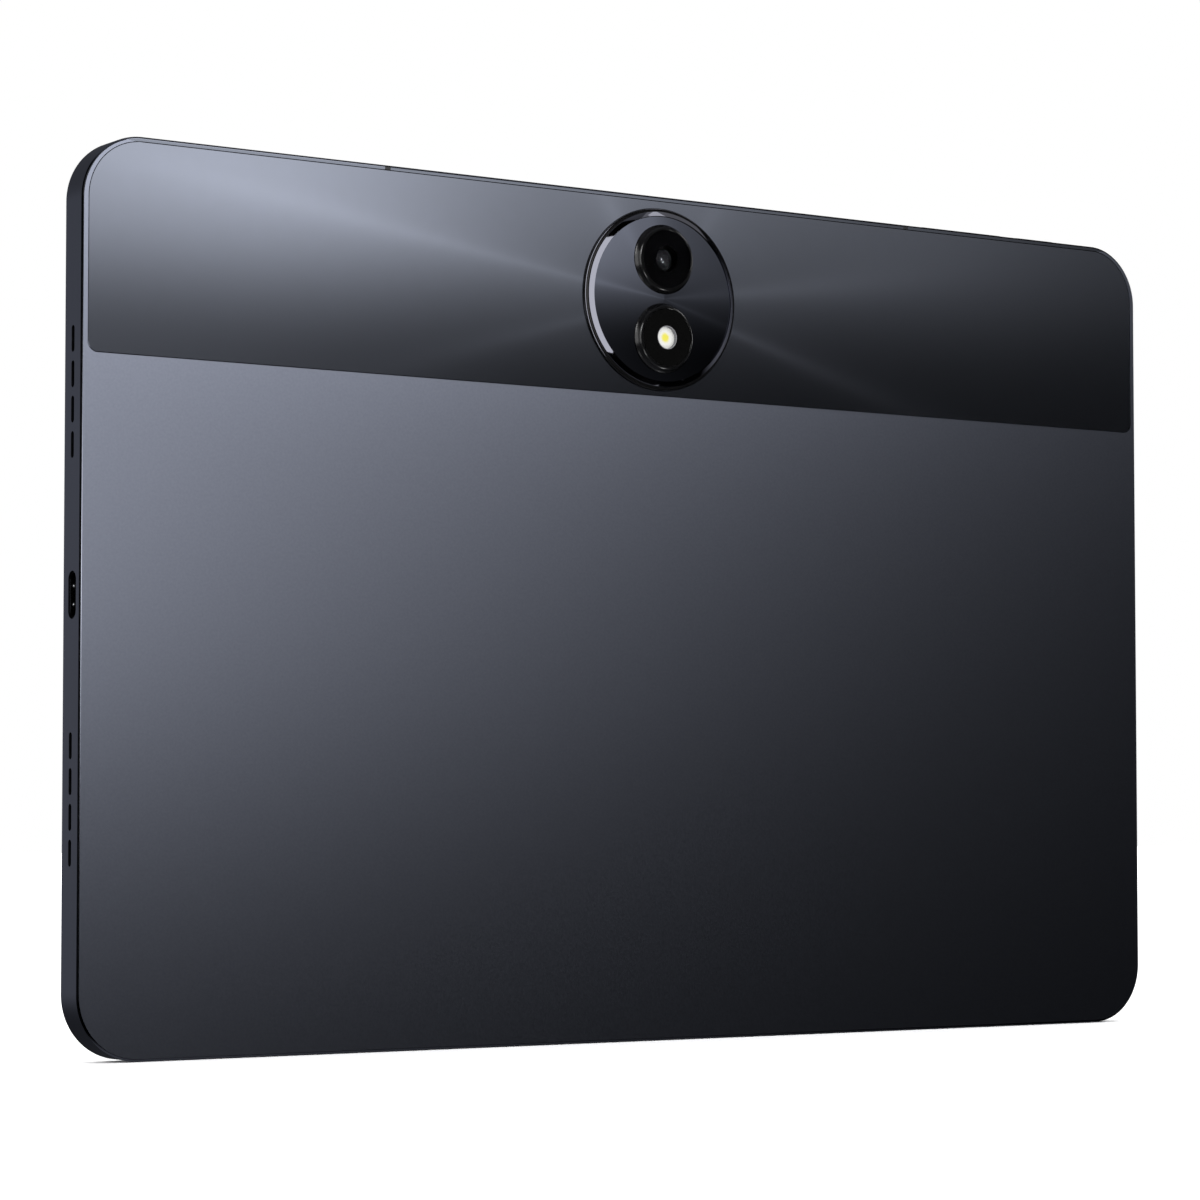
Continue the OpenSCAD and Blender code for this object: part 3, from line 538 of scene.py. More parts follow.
class Bench:
    """Modelling moves, each made as by hand with Blender's own operators. All sizes are in mm."""

    @staticmethod
    def clear() -> None:
        """Leaves edit mode and deselects everything."""
        if bpy.context.object and bpy.context.object.mode != "OBJECT":
            bpy.ops.object.mode_set(mode="OBJECT")
        bpy.ops.object.select_all(action="DESELECT")

    @staticmethod
    def hold(*objs: Piece) -> Piece:
        """Selects only these objects.

        Args:
            objs: The objects, of which the first becomes active.

        Returns:
            The active object.
        """
        Bench.clear()
        for obj in objs:
            obj.select_set(True)
        bpy.context.view_layer.objects.active = objs[0]
        return objs[0]

    @staticmethod
    def adopt(name: str) -> Piece:
        """Names the active object and puts its place into its mesh.

        Args:
            name: The new name.

        Returns:
            The object, which now sits at the origin.
        """
        obj = bpy.context.object
        obj.name = obj.data.name = name
        bpy.ops.object.transform_apply(location=True, rotation=True, scale=True)
        return obj

    @staticmethod
    def pick(obj: Piece, kind: Kind, test: Callable[..., bool]) -> int:
        """Opens edit mode with the parts that pass a test selected.

        Args:
            obj: Object to edit.
            kind: Vertices, edges or faces.
            test: Gets a vertex's place, an edge's two ends, or a face's centre and normal, in mm.

        Returns:
            How many parts were selected.
        """
        Bench.hold(obj)
        bpy.ops.object.mode_set(mode="EDIT")
        bpy.ops.mesh.select_mode(type=kind.value)
        bpy.ops.mesh.select_all(action="DESELECT")
        bpy.ops.object.mode_set(mode="OBJECT")
        mesh = obj.data
        count = 0
        if kind is Kind.VERT:
            parts, facts = mesh.vertices, lambda v: (v.co / MM,)
        elif kind is Kind.EDGE:
            parts, facts = mesh.edges, lambda e: tuple(mesh.vertices[i].co / MM for i in e.vertices)
        else:
            parts, facts = mesh.polygons, lambda f: (f.center / MM, f.normal)
        for part in parts:
            if test(*facts(part)):
                part.select = True
                count += 1
        bpy.ops.object.mode_set(mode="EDIT")
        return count

    @staticmethod
    def done() -> None:
        """Goes back to object mode."""
        bpy.ops.object.mode_set(mode="OBJECT")

    @staticmethod
    def level(axis: int, height: float) -> Callable[[Vector, Vector], bool]:
        """Makes a test that both ends of an edge lie at a height along an axis."""
        return lambda a, b: abs(a[axis] - height) < TOUCH and abs(b[axis] - height) < TOUCH

    @staticmethod
    def ease(obj: Piece, width: float, cuts: int, test: Callable[[Vector, Vector], bool]) -> None:
        """Bevels the edges that pass a test.

        Args:
            obj: Object to edit.
            width: Width of the bevel.
            cuts: Segments across the bevel.
            test: Gets an edge's two ends in mm.
        """
        Bench.pick(obj, Kind.EDGE, test)
        bpy.ops.mesh.bevel(offset=width * MM, segments=cuts, affect="EDGES")
        Bench.done()

    @staticmethod
    def slab(
        name: str,
        low: Point,
        high: Point,
        radii: tuple[float, float] = (0.0, 0.0),
        steps: int = 32,
        rims: dict[float, tuple[float, int]] | None = None,
    ) -> Piece:
        """Makes a plate whose corners are round as seen along Y.

        Args:
            name: The object's name.
            low: Lowest corner.
            high: Highest corner.
            radii: Radius of the two lower and the two upper corners.
            steps: Segments in each round corner.
            rims: Level along Y of a rim to bevel, with the bevel's width and segments.

        Returns:
            The plate.
        """
        Bench.clear()
        size = [(b - a) * MM for a, b in zip(low, high)]
        centre = [(a + b) / 2 * MM for a, b in zip(low, high)]
        bpy.ops.mesh.primitive_cube_add(size=1, location=centre, scale=size)
        obj = Bench.adopt(name)
        for radius, height in zip(radii, (low[2], high[2])):
            if radius:
                flat = Bench.level(2, height)
                Bench.ease(obj, radius, steps, lambda a, b: flat(a, b) and abs(a.y - b.y) > TOUCH)
        for depth, (width, cuts) in (rims or {}).items():
            Bench.ease(obj, width, cuts, Bench.level(1, depth))
        return obj

    @staticmethod
    def stadium(
        name: str, axis: Axis, centre: Point, length: float, width: float, depth: float, steps: int = 32
    ) -> Piece:
        """Makes a bar with round long ends: a circle pulled apart and extruded along its axis.

        Args:
            name: The object's name.
            axis: Direction of the extrusion.
            centre: Middle of the bar.
            length: Full length, along Z for a bar on X and along X for a bar on Z. A round bar's is
                a hair over its width.
            width: Full width, along Y.
            depth: Length of the extrusion.
            steps: Vertices of the circle.

        Returns:
            The bar.
        """
        Bench.clear()
        half_step = math.pi / steps
        way = Vector((1, 0, 0)) if axis is Axis.X else Vector((0, 0, 1))
        pull = Vector((0, 0, 1)) if axis is Axis.X else Vector((1, 0, 0))
        turn = Matrix.Rotation(half_step, 4, axis.value)
        if axis is Axis.X:
            turn = turn @ Matrix.Rotation(math.pi / 2, 4, "Y")
        start = (Vector(centre) - way * depth / 2) * MM
        bpy.ops.mesh.primitive_circle_add(
            vertices=steps,
            radius=width / 2 / math.cos(half_step) * MM,
            fill_type="NGON",
            location=start,
            rotation=turn.to_euler(),
        )
        obj = Bench.adopt(name)
        middle = Vector(centre).dot(pull)
        for side in (-1, 1):
            Bench.pick(obj, Kind.VERT, lambda p: side * (p.dot(pull) - middle) > 1e-6)
            bpy.ops.transform.translate(value=pull * side * (length - width) / 2 * MM)
            Bench.done()
        Bench.pick(obj, Kind.FACE, lambda c, n: True)
        bpy.ops.mesh.extrude_region_move(TRANSFORM_OT_translate={"value": way * depth * MM})
        Bench.square_up()
        return obj

    @staticmethod
    def square_up() -> None:
        """Merges doubles and points all faces outwards, then leaves edit mode."""
        bpy.ops.mesh.select_all(action="SELECT")
        bpy.ops.mesh.remove_doubles(threshold=1e-7)
        bpy.ops.mesh.normals_make_consistent(inside=False)
        bpy.ops.object.mode_set(mode="OBJECT")

    @staticmethod
    def lathe(
        name: str, centre: tuple[float, float], profile: Profile, steps: int = 128, ring: bool = True
    ) -> Piece:
        """Turns a profile about an axis along Y.

        Args:
            name: The object's name.
            centre: X and Z of the axis.
            profile: Radius and Y of each corner, in order.
            steps: Segments of the circle.
            ring: Closes the profile on itself; otherwise both ends get a flat cap.

        Returns:
            The turned piece.
        """
        Bench.clear()
        radius, level = profile[0]
        middle = Vector((centre[0], level, centre[1])) * MM
        bpy.ops.mesh.primitive_circle_add(
            vertices=steps,
            radius=radius * MM,
            fill_type="NOTHING" if ring else "NGON",
            location=middle,
            rotation=(math.pi / 2, 0, 0),
        )
        obj = Bench.adopt(name)
        bpy.ops.object.mode_set(mode="EDIT")
        bpy.ops.mesh.select_mode(type="EDGE" if ring else "FACE")
        bpy.ops.mesh.select_all(action="SELECT")
        corners = [*profile, profile[0]] if ring else list(profile)
        for (near, y_near), (far, y_far) in zip(corners, corners[1:]):
            step = {"value": (0, (y_far - y_near) * MM, 0)}
            if ring:
                bpy.ops.mesh.extrude_edges_move(TRANSFORM_OT_translate=step)
            else:
                bpy.ops.mesh.extrude_region_move(TRANSFORM_OT_translate=step)
            if far != near:
                middle.y = y_far * MM
                bpy.ops.transform.resize(value=(far / near, 1, far / near), center_override=middle)
        Bench.square_up()
        return obj

    @staticmethod
    def copy(obj: Piece, name: str, shift: Point) -> Piece:
        """Copies an object with its own mesh.

        Args:
            obj: The object.
            name: The copy's name.
            shift: How far the copy is moved.

        Returns:
            The copy.
        """
        Bench.hold(obj)
        bpy.ops.object.duplicate()
        twin = bpy.context.object
        twin.location = Vector(shift) * MM
        return Bench.adopt(name)

    @staticmethod
    def merge(name: str, parts: Sequence[Piece]) -> Piece:
        """Joins several objects into one.

        Args:
            name: The joined object's name.
            parts: The objects.

        Returns:
            The joined object.
        """
        joined = Bench.hold(*parts)
        bpy.ops.object.join()
        joined.name = joined.data.name = name
        return joined

    @staticmethod
    def boolean(obj: Piece, tool: Piece, how: Join) -> None:
        """Cuts, keeps or welds obj with tool, and removes the tool.

        Args:
            obj: The piece.
            tool: The other solid.
            how: What the boolean does.
        """
        Bench.hold(obj)
        bpy.ops.object.modifier_add(type="BOOLEAN")
        cut = obj.modifiers[-1]
        cut.operation = how.value
        cut.solver = "EXACT"
        cut.object = tool
        bpy.ops.object.modifier_apply(modifier=cut.name)
        bpy.data.objects.remove(tool)

    @staticmethod
    def finish(
        obj: Piece,
        body: str,
        slot: str,
        finishes: Sequence[Shop],
        stands_for: Sequence[str] = (),
        angle: float = 30.0,
        paint: Callable[[Vector, Vector], int] | None = None,
    ) -> Piece:
        """Smooths and dresses a finished piece, attaches it to its body and hides the CAD nodes it stands
        for.

        Args:
            obj: The piece.
            body: CAD body that it rides on.
            slot: The record's material slot; not used.
            finishes: Finishes, in the order of the piece's material slots.
            stands_for: CAD nodes that it replaces.
            angle: Edges sharper than this stay sharp, in degrees.
            paint: Gets a face's centre in mm and normal, and returns which finish it takes.

        Returns:
            The piece.
        """
        Bench.hold(obj)
        bpy.ops.object.shade_smooth_by_angle(angle=math.radians(angle))
        for face in obj.data.polygons:
            square = max(map(abs, face.normal)) > ALONG_AXIS
            face.use_smooth = not (square and face.area >= FLAT_AREA)
        bpy.ops.object.modifier_add(type="WEIGHTED_NORMAL")
        weighted = obj.modifiers[-1]
        weighted.keep_sharp = True
        bpy.ops.object.modifier_apply(modifier=weighted.name)
        obj.data.materials.clear()
        for finish in finishes:
            obj.data.materials.append(finish.shade())
        for face in obj.data.polygons:
            face.material_index = paint(face.center / MM, face.normal) if paint else 0
        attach(obj, body)
        if stands_for:
            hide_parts(*stands_for)
        LOG.info("%s: %d faces on %s", obj.name, len(obj.data.polygons), body)
        return obj


# --------------------------------------------------------------------------- sub-assemblies


@dataclass
class Shell:
    """Milled aluminium shell: tub, radio rim between the two splits, and the resin in the splits.

    Levels along Y are the glass's ledge, the cavity's glass_floor, carrier and inner_floor, its deeper
    floor up to floor_top, and the band's recess. strip is the height where the smooth land over the
    band starts. clear and above are how far cutters reach past the shell. A port has its name,
    direction, middle, length, width, depth and steps, and a boss its X, its height and its start.
    """

    width: float = 264.0
    height: float = 174.6
    half_depth: float = 3.6
    corner: float = 12.6
    chamfer: float = 0.35
    chamfer_rim: float = 0.07
    strip: float = 173.68
    lip: float = 0.8
    wall: float = 2.6
    ledge: float = -2.7
    carrier: float = 2.0
    floor: float = 2.8
    band_level: float = 3.0
    split_x: float = 65.5
    split_width: float = 1.3
    split_foot: float = 171.999
    glass_floor: float = -3.2
    inner_floor: float = 1.5
    floor_top: float = 131.75
    window_low: float = 133.8
    window_high: float = 172.5
    clear: float = 5.0
    above: float = 180.0
    slot_length: float = 5.05
    slot_width: float = 1.25
    slot_pitch: float = 6.68
    slot_group: float = 38.3
    slot_middle: float = 131.0
    mics: tuple[float, float] = (-50.0, 50.0)
    ports: tuple[tuple[str, Axis, Point, float, float, float, int], ...] = (
        ("port_cut", Axis.X, (131, 0.4, HALF_HEIGHT), 9.04, 3.26, 5, 48),
        ("tray_cut", Axis.X, (-131, 0.4, HALF_HEIGHT + 8), 15.6, 2.3, 5, 32),
        ("power_cut", Axis.Z, (-104.4, 0.2, 173.3), 11.9, 2.3, 4, 32),
        ("volume_cut", Axis.Z, (-83.2, 0.2, 173.3), 23.9, 2.3, 4, 32),
    )
    bosses: tuple[tuple[float, float, float], ...] = (
        (-122, 165.3, -0.75), (122, 165.3, -0.75), (-122, 9.3, -0.75), (122, 9.3, -0.75),
        (75, 149.3, -0.75), (-99.6, 21.3, -0.75), (99.6, 21.3, -0.75), (-92, 128.3, 1.6),
        (-92, 164.3, 1.6), (46, 128.3, 1.6),
    )

    def blank(self, name: str) -> Piece:
        """Makes the chamfered body with the glass pocket and the band's recess.

        Args:
            name: The object's name.

        Returns:
            The blank, not yet hollow.
        """
        half = self.width / 2
        deep = self.half_depth
        rims = {-deep: (self.chamfer, 1), deep: (self.chamfer, 1)}
        body = Bench.slab(name, (-half, -deep, 0), (half, deep, self.height), (self.corner,) * 2, 40, rims)
        for face in (deep, -deep):
            Bench.ease(body, self.chamfer_rim, 1, Bench.level(1, face))
        pocket = Bench.slab(
            "pocket",
            (-half + self.lip, -deep - 0.5, self.lip),
            (half - self.lip, self.ledge, self.height - self.lip),
            (self.corner - self.lip,) * 2,
        )
        Bench.boolean(body, pocket, Join.CUT)
        band = CameraBand()
        recess = Bench.slab(
            "recess",
            (-band.half_width - band.gap, self.band_level, band.low - band.gap),
            (band.half_width + band.gap, deep + 0.5, band.high + band.gap),
            (band.low_corner + band.gap, band.high_corner + band.gap),
            40,
        )
        Bench.boolean(body, recess, Join.CUT)
        return body

    def openings(self) -> Piece:
        """Makes the cutters of the slots, ports, keys, tray and microphones.

        Returns:
            All the cutters as one object.
        """
        first = Bench.stadium(
            "slot", Axis.X, (self.slot_middle, 0.1, HALF_HEIGHT), self.slot_length, self.slot_width, 6, 24
        )
        cutters = [
            Bench.copy(first, "slot_copy", (side, 0, group * self.slot_group + i * self.slot_pitch))
            for side in (0, -2 * self.slot_middle)
            for group in (-1, 1)
            for i in (-1.5, -0.5, 0.5, 1.5)
        ]
        bpy.data.objects.remove(first)
        cutters += [Bench.stadium(*port) for port in self.ports]
        return Bench.merge("openings", cutters + self.drills())

    def drills(self) -> list[Piece]:
        """Returns a cutter for each microphone's hole in the camera edge."""
        return [Bench.stadium("mic_cut", Axis.Z, (x, 0.2, 173.3), 1.001, 1.0, 4, 24) for x in self.mics]

    def edge_zone(self, left: float, right: float) -> Piece:
        """Returns a cutter that holds the camera edge's wall from left to right."""
        return Bench.slab("zone", (left, -self.clear, self.split_foot), (right, self.clear, self.above))

    def surface(self, centre: Vector, normal: Vector) -> int:
        """Picks the finish of a shell face: blasted outside, cut chamfers, and milled inside, drawn dark as
        painted shade.

        Args:
            centre: The face's centre in mm.
            normal: The face's normal.

        Returns:
            Which of the shell's finishes the face takes.
        """
        half, corner = self.width / 2, self.corner
        skin, hole_wall = 0.2, 3.0
        dx, dz = abs(centre.x) - (half - corner), abs(centre.z - HALF_HEIGHT) - (self.height / 2 - corner)
        outside = (
            abs(centre.x) > half - skin
            or not skin <= centre.z <= self.height - skin
            or abs(centre.y) > self.half_depth - 0.5
            or (dx > 0 and dz > 0 and math.hypot(dx, dz) > corner - skin)
        )
        # The inside takes the milled finish, drawn dark as painted shade.
        if not outside:
            return 2
        if 0.3 < abs(normal.y) < 0.97:
            return 1
        if centre.z > self.strip and normal.y > 0.97:
            return 3
        # The walls of a hole face along the wall that it goes through; they take the milled finish, drawn
        # dark as painted shade.
        in_hole = abs(centre.y) < hole_wall and (
            (abs(centre.x) > half - hole_wall and abs(normal.x) < 0.05 and dz < -1)
            or (centre.z > self.height - hole_wall and abs(normal.z) < 0.05 and dx < -1)
        )
        return 2 if in_hole else 0

    def build(self) -> None:
        """Builds the tub, the radio rim, the splits and the screw bosses."""
        # The milled finish inside is drawn dark as painted shade.
        coats = (Shop.BLASTED_ALUMINIUM, Shop.CUT_CHAMFER, Shop.MILLED_ALUMINIUM, Shop.EDGE_RIM)
        near, far = self.split_x - self.split_width / 2, self.split_x + self.split_width / 2
        rim = self.blank("radio_rim")
        Bench.boolean(rim, self.edge_zone(-near, near), Join.KEEP)
        Bench.boolean(rim, Bench.merge("mics", self.drills()), Join.CUT)
        Bench.finish(rim, "tablet", "anodised_aluminium", coats, ["antenna_rim"], paint=self.surface)

        splits = self.blank("split_fills")
        pair = Bench.merge("pair", [self.edge_zone(-far, -near), self.edge_zone(near, far)])
        Bench.boolean(splits, pair, Join.KEEP)
        Bench.finish(splits, "tablet", "split_plastic", [Shop.SPLIT_RESIN], ["antenna_splits"])

        tub = self.blank("shell_tub")
        inner_x = self.width / 2 - self.wall
        round_wall = self.corner - self.wall
        cavity = Bench.slab(
            "cavity",
            (-inner_x, self.glass_floor, self.wall),
            (inner_x, self.carrier, self.height - self.wall),
            (round_wall, round_wall),
        )
        Bench.boolean(tub, cavity, Join.CUT)
        deeper = Bench.slab(
            "deeper",
            (-inner_x, self.inner_floor, self.wall),
            (inner_x, self.floor, self.floor_top),
            (round_wall, 0),
        )
        Bench.boolean(tub, deeper, Join.CUT)
        Bench.boolean(tub, self.edge_zone(-far, far), Join.CUT)
        window = Bench.slab(
            "window", (-near, -self.clear, self.window_low), (near, self.clear, self.window_high)
        )
        Bench.boolean(tub, window, Join.CUT)
        Bench.boolean(tub, self.openings(), Join.CUT)
        Bench.pick(tub, Kind.FACE, lambda c, n: n.y > 0.97 and c.y > self.half_depth - 0.05)
        bpy.ops.mesh.bisect(plane_co=(0, 0, self.strip * MM), plane_no=(0, 0, 1))
        Bench.done()
        Bench.finish(tub, "tablet", "anodised_aluminium", coats, ["rear_housing"], paint=self.surface)
        self.build_bosses()

    def build_bosses(self) -> None:
        """Builds the threaded bosses that the inner screws go into."""
        bosses = []
        for x, z, start in self.bosses:
            end = self.carrier if z > self.floor_top else self.floor
            # A 1.4 mm bore in a 3.2 mm boss with an eased mouth.
            profile = [(0.7, start), (1.5, start), (1.6, start + 0.1), (1.6, end), (0.7, end)]
            bosses.append(Bench.lathe("boss", (x, z), profile, 32))
        # The bosses take the milled finish, drawn dark as painted shade.
        Bench.finish(
            Bench.merge("screw_bosses", bosses), "tablet", "anodised_aluminium", [Shop.MILLED_ALUMINIUM]
        )


@dataclass
class CameraBand:
    """Glossy band across the camera edge."""

    half_width: float = 130.6
    low: float = 132.95
    high: float = 173.6
    low_corner: float = 2.0
    high_corner: float = 11.2
    gap: float = 0.08
    level: float = 3.0
    face: float = 3.6
    hole: float = 19.09

    def build(self) -> None:
        """Builds the band with a softened edge and the island's hole."""
        band = Bench.slab(
            "gloss_band",
            (-self.half_width, self.level, self.low),
            (self.half_width, self.face, self.high),
            (self.low_corner, self.high_corner),
            40,
            {self.face: (0.1, 3)},
        )
        bore = [(self.hole, self.level - 0.5), (self.hole, self.face + 0.5)]
        drill = Bench.lathe("drill", (0, DISC_HEIGHT), bore, ring=False)
        Bench.boolean(band, drill, Join.CUT)
        Bench.finish(band, "tablet", "band_gloss", [Shop.SUNBURST_BAND], ["camera_band"])


@dataclass
class LensIsland:
    """Round island: turned ring, domed face, two raised bezels, windows, lens and flash."""

    ring: Profile = (
        (15.55, 3.0), (19.03, 3.0), (19.03, 3.95), (18.98, 4.05), (18.86, 4.16), (18.76, 4.2),
        (18.38, 4.2), (18.28, 4.26), (18.25, 4.34), (18.25, 4.48), (18.20, 4.56), (17.30, 5.09),
        (17.25, 5.10), (17.25, 4.3), (15.55, 4.3),
    )
    bezel: Profile = (
        (4.6, 4.3), (6.5, 4.3), (6.5, 5.08), (7.3, 5.08), (7.3, 5.16), (7.22, 5.26), (7.10, 5.42),
        (7.0, 5.56), (6.86, 5.82), (6.74, 6.08), (6.66, 6.24), (6.56, 6.38), (6.44, 6.49),
        (6.30, 6.57), (6.16, 6.6), (6.04, 6.6), (6.0, 6.56), (6.0, 6.1), (4.6, 6.1),
    )
    face_radius: float = 17.21
    face_low: float = 4.3
    face_rim: float = 4.88
    dome_radius: float = 400.0
    bezel_hole: float = 6.54
    window_radius: float = 5.95
    element_radius: float = 2.35
    element_rise: float = 0.8
    window_low: float = 6.13
    window_high: float = 6.55
    flash_hole: float = 2.45
    print_hole: float = 2.75

    def build(self) -> None:
        """Builds every piece of the island."""
        ring = Bench.lathe("island_ring", (0, DISC_HEIGHT), self.ring, 192)
        # The ring's outer step takes the bezel black as painted shade.
        coats = [Shop.TURNED_RING, Shop.BLACK_BEZEL]
        Bench.finish(
            ring, "tablet", "ring_aluminium", coats, ["camera_ring"], angle=42, paint=self.ring_zone
        )
        self.build_face()
        places = ((LENS_HEIGHT, "camera_bezel"), (FLASH_HEIGHT, "flash_bezel"))
        for name, (height, stands) in zip(BEZELS, places):
            bezel = Bench.lathe(name, (0, height), self.bezel, 96)
            Bench.finish(bezel, "tablet", "black_metal", [Shop.BLACK_BEZEL], [stands], angle=40)
        self.build_windows()
        self.build_lens()
        self.build_flash()

    @staticmethod
    def ring_zone(centre: Vector, normal: Vector) -> int:
        """Picks the ring's finish: its outer step is painted black as painted shade, apart from a fine line
        on its edge.

        Args:
            centre: The face's centre in mm.
            normal: The face's normal, which makes no difference here.

        Returns:
            0 for the turned metal, 1 for the step painted black as painted shade.
        """
        reach = math.hypot(centre.x, centre.z - DISC_HEIGHT)
        # The step is painted black: painted shade.
        on_step = reach > 18.2 and centre.y < 4.5
        on_line = 18.77 < reach < 18.86
        return int(on_step and not on_line)

    def build_face(self) -> None:
        """Builds the slightly domed face with the two bezel holes."""
        rim, edge = self.face_radius, 0.05

        def drop(radius: float) -> float:
            """Returns how far the dome has fallen at a radius."""
            return self.dome_radius - math.sqrt(self.dome_radius**2 - radius**2)

        profile = [(rim, self.face_low), (rim, self.face_rim - edge), (rim - edge, self.face_rim)]
        for share in (0.92, 0.84, 0.76, 0.68, 0.6, 0.52, 0.44, 0.36, 0.28, 0.2, 0.12, 0.05):
            radius = rim * share
            profile.append((radius, self.face_rim + drop(rim) - drop(radius)))
        face = Bench.lathe("island_face", (0, DISC_HEIGHT), profile, 128, ring=False)
        for height in (LENS_HEIGHT, FLASH_HEIGHT):
            bore = [(self.bezel_hole, 3.5), (self.bezel_hole, 6.5)]
            Bench.boolean(face, Bench.lathe("drill", (0, height), bore, 96, ring=False), Join.CUT)
        Bench.finish(face, "tablet", "disc_gloss", [Shop.SUNBURST_DISC], ["camera_plate"], angle=20)

    def build_windows(self) -> None:
        """Builds both windows with eased edges, and the black print under the lens window."""
        low, high, rim, edge = self.window_low, self.window_high, self.window_radius, 0.05
        clear = [(rim, low), (rim, high - edge), (rim - edge, high), (rim * 0.5, high)]
        pane = Bench.lathe("lens_window", (0, LENS_HEIGHT), clear, 96, ring=False)
        Bench.finish(pane, "tablet", "window_glass", [Shop.WINDOW_GLASS], ["camera_window"])
        hole, outer, under, over = self.print_hole, rim - 0.02, low - 0.03, low - 0.005
        layer = [(hole, under), (outer, under), (outer, over), (hole, over)]
        mask = Bench.lathe("lens_window_print", (0, LENS_HEIGHT), layer, 96)
        Bench.finish(mask, "tablet", "window_glass", [Shop.BLACK_INK])
        hole = self.flash_hole
        ring = [(hole, low), (rim, low), (rim, high - edge), (rim - edge, high), (hole + edge, high)]
        black = Bench.lathe("flash_window_pane", (0, FLASH_HEIGHT), [*ring, (hole, high - edge)], 96)
        Bench.finish(black, "tablet", "window_glass", [Shop.BLACK_PANE], ["flash_window"])

    def build_lens(self) -> None:
        """Builds the focusing barrel and its domed front element."""
        barrel = [
            (3.1, 1.2), (3.1, 4.45), (2.95, 4.6), (2.55, 4.6), (2.45, 4.55), (2.45, 4.3), (2.2, 4.25),
            (1.0, 4.25),
        ]
        tube = Bench.lathe("focus_barrel", (0, LENS_HEIGHT), barrel, 96, ring=False)
        Bench.finish(tube, "focus_lens", "lens_plastic", [Shop.LENS_RESIN], ["lens_barrel"])
        seat, shoulder, steps = 4.3, 4.6, 12
        dome = [(self.element_radius, seat)]
        for i in range(steps):
            # The last ring stays a fifth of a step short of the pole, where the cap closes it.
            turn = math.pi / 2 * (i + 0.2) / steps
            rise = self.element_rise * math.sin(turn)
            dome.append((self.element_radius * math.cos(turn), shoulder + rise))
        element = Bench.lathe("front_element", (0, LENS_HEIGHT), dome, 96, ring=False)
        Bench.finish(element, "focus_lens", "lens_plastic", [Shop.COATED_LENS], angle=60)

    def build_flash(self) -> None:
        """Builds the flash's diffuser: a dish with a collar painted grey as painted shade, and a low dome
        over the die.
        """
        low, rim, floor = 5.6, self.window_low - 0.04, 5.68
        dish = [
            (4.5, low), (4.5, rim - 0.05), (4.45, rim), (2.43, rim), (2.43, 6.46), (2.30, 6.46),
            (2.28, floor), (1.8, floor + 0.04), (1.2, floor + 0.07), (0.6, floor + 0.09),
            (0.2, floor + 0.09),
        ]
        diffuser = Bench.lathe("flash_diffuser", (0, FLASH_HEIGHT), dish, 96, ring=False)
        # Every face but the dome's top takes the collar's grey: painted shade in the recess.
        Bench.finish(
            diffuser,
            "tablet",
            "diffuser",
            [Shop.OPAL_DIFFUSER, Shop.GREY_COLLAR],
            ["flash_lens"],
            paint=lambda c, n: 0 if n.y > 0.5 and c.y < 6 else 1,
        )


@dataclass
class ScreenSide:
    """Screen side: glass with a rounded edge, its border, the gasket, the panel and the small camera."""

    half_width: float = 130.9
    low: float = 1.1
    high: float = 173.5
    corner: float = 11.5
    face: float = -3.6
    back: float = -2.93
    active: tuple[float, float] = (247.7, 154.8)
    camera_height: float = 169.2
    eyes: Profile = ((0, 1.55), (-9.1, 0.9))

    def build(self) -> None:
        """Builds every piece of the screen side."""
        back = self.back
        glass = Bench.slab(
            "screen_glass",
            (-self.half_width, self.face, self.low),
            (self.half_width, back, self.high),
            (self.corner,) * 2,
            40,
            {self.face: (0.3, 4), back: (0.08, 1)},
        )
        Bench.finish(glass, "tablet", "screen_glass", [Shop.COVER_GLASS], ["cover_glass"])
        self.build_border()
        self.build_gasket()
        edges = {-2.4: (0.05, 1), -2.86: (0.05, 1)}
        low, high = (-125.4, -2.86, 8.4), (125.4, -2.4, 166.2)
        panel = Bench.slab("screen_panel", low, high, (2.0, 2.0), 12, edges)
        Bench.finish(panel, "tablet", "panel_glass", [Shop.DARK_PANEL], ["display_panel"])
        lens = [(1.5, -2.45), (1.5, -2.52), (1.3, -2.62), (1.0, -2.70), (0.6, -2.76), (0.2, -2.78)]
        element = Bench.lathe("small_camera_lens", (0, self.camera_height), lens, 48, ring=False)
        Bench.finish(element, "tablet", "lens_plastic", [Shop.COATED_LENS], angle=60)

    def build_border(self) -> None:
        """Builds the printed border with its screen opening and the holes of the camera and the sensor."""
        inset = 0.02
        border = Bench.slab(
            "screen_border",
            (-self.half_width + inset, -2.926, self.low + inset),
            (self.half_width - inset, -2.904, self.high - inset),
            (self.corner - inset,) * 2,
        )
        width, height = self.active
        opening = Bench.slab(
            "opening",
            (-width / 2, -3.4, HALF_HEIGHT - height / 2),
            (width / 2, -2.4, HALF_HEIGHT + height / 2),
            (2.2, 2.2),
            12,
        )
        Bench.boolean(border, opening, Join.CUT)
        for x, radius in self.eyes:
            bore = [(radius, -3.2), (radius, -2.5)]
            hole = Bench.lathe("hole", (x, self.camera_height), bore, 48, ring=False)
            Bench.boolean(border, hole, Join.CUT)
        Bench.finish(border, "tablet", "screen_glass", [Shop.BLACK_INK])

    def build_gasket(self) -> None:
        """Builds the thin soft frame between the glass and the shell."""
        edge, slack = 0.28, 0.01
        gasket = Bench.slab(
            "screen_gasket",
            (-self.half_width - edge, -3.48, self.low - edge),
            (self.half_width + edge, -2.7, self.high + edge),
            (self.corner + edge,) * 2,
            40,
        )
        core = Bench.slab(
            "core",
            (-self.half_width - slack, -4, self.low - slack),
            (self.half_width + slack, -2, self.high + slack),
            (self.corner + slack,) * 2,
            40,
        )
        Bench.boolean(gasket, core, Join.CUT)
        Bench.finish(gasket, "tablet", "black_plastic", [Shop.SILICONE], ["glass_gasket"])


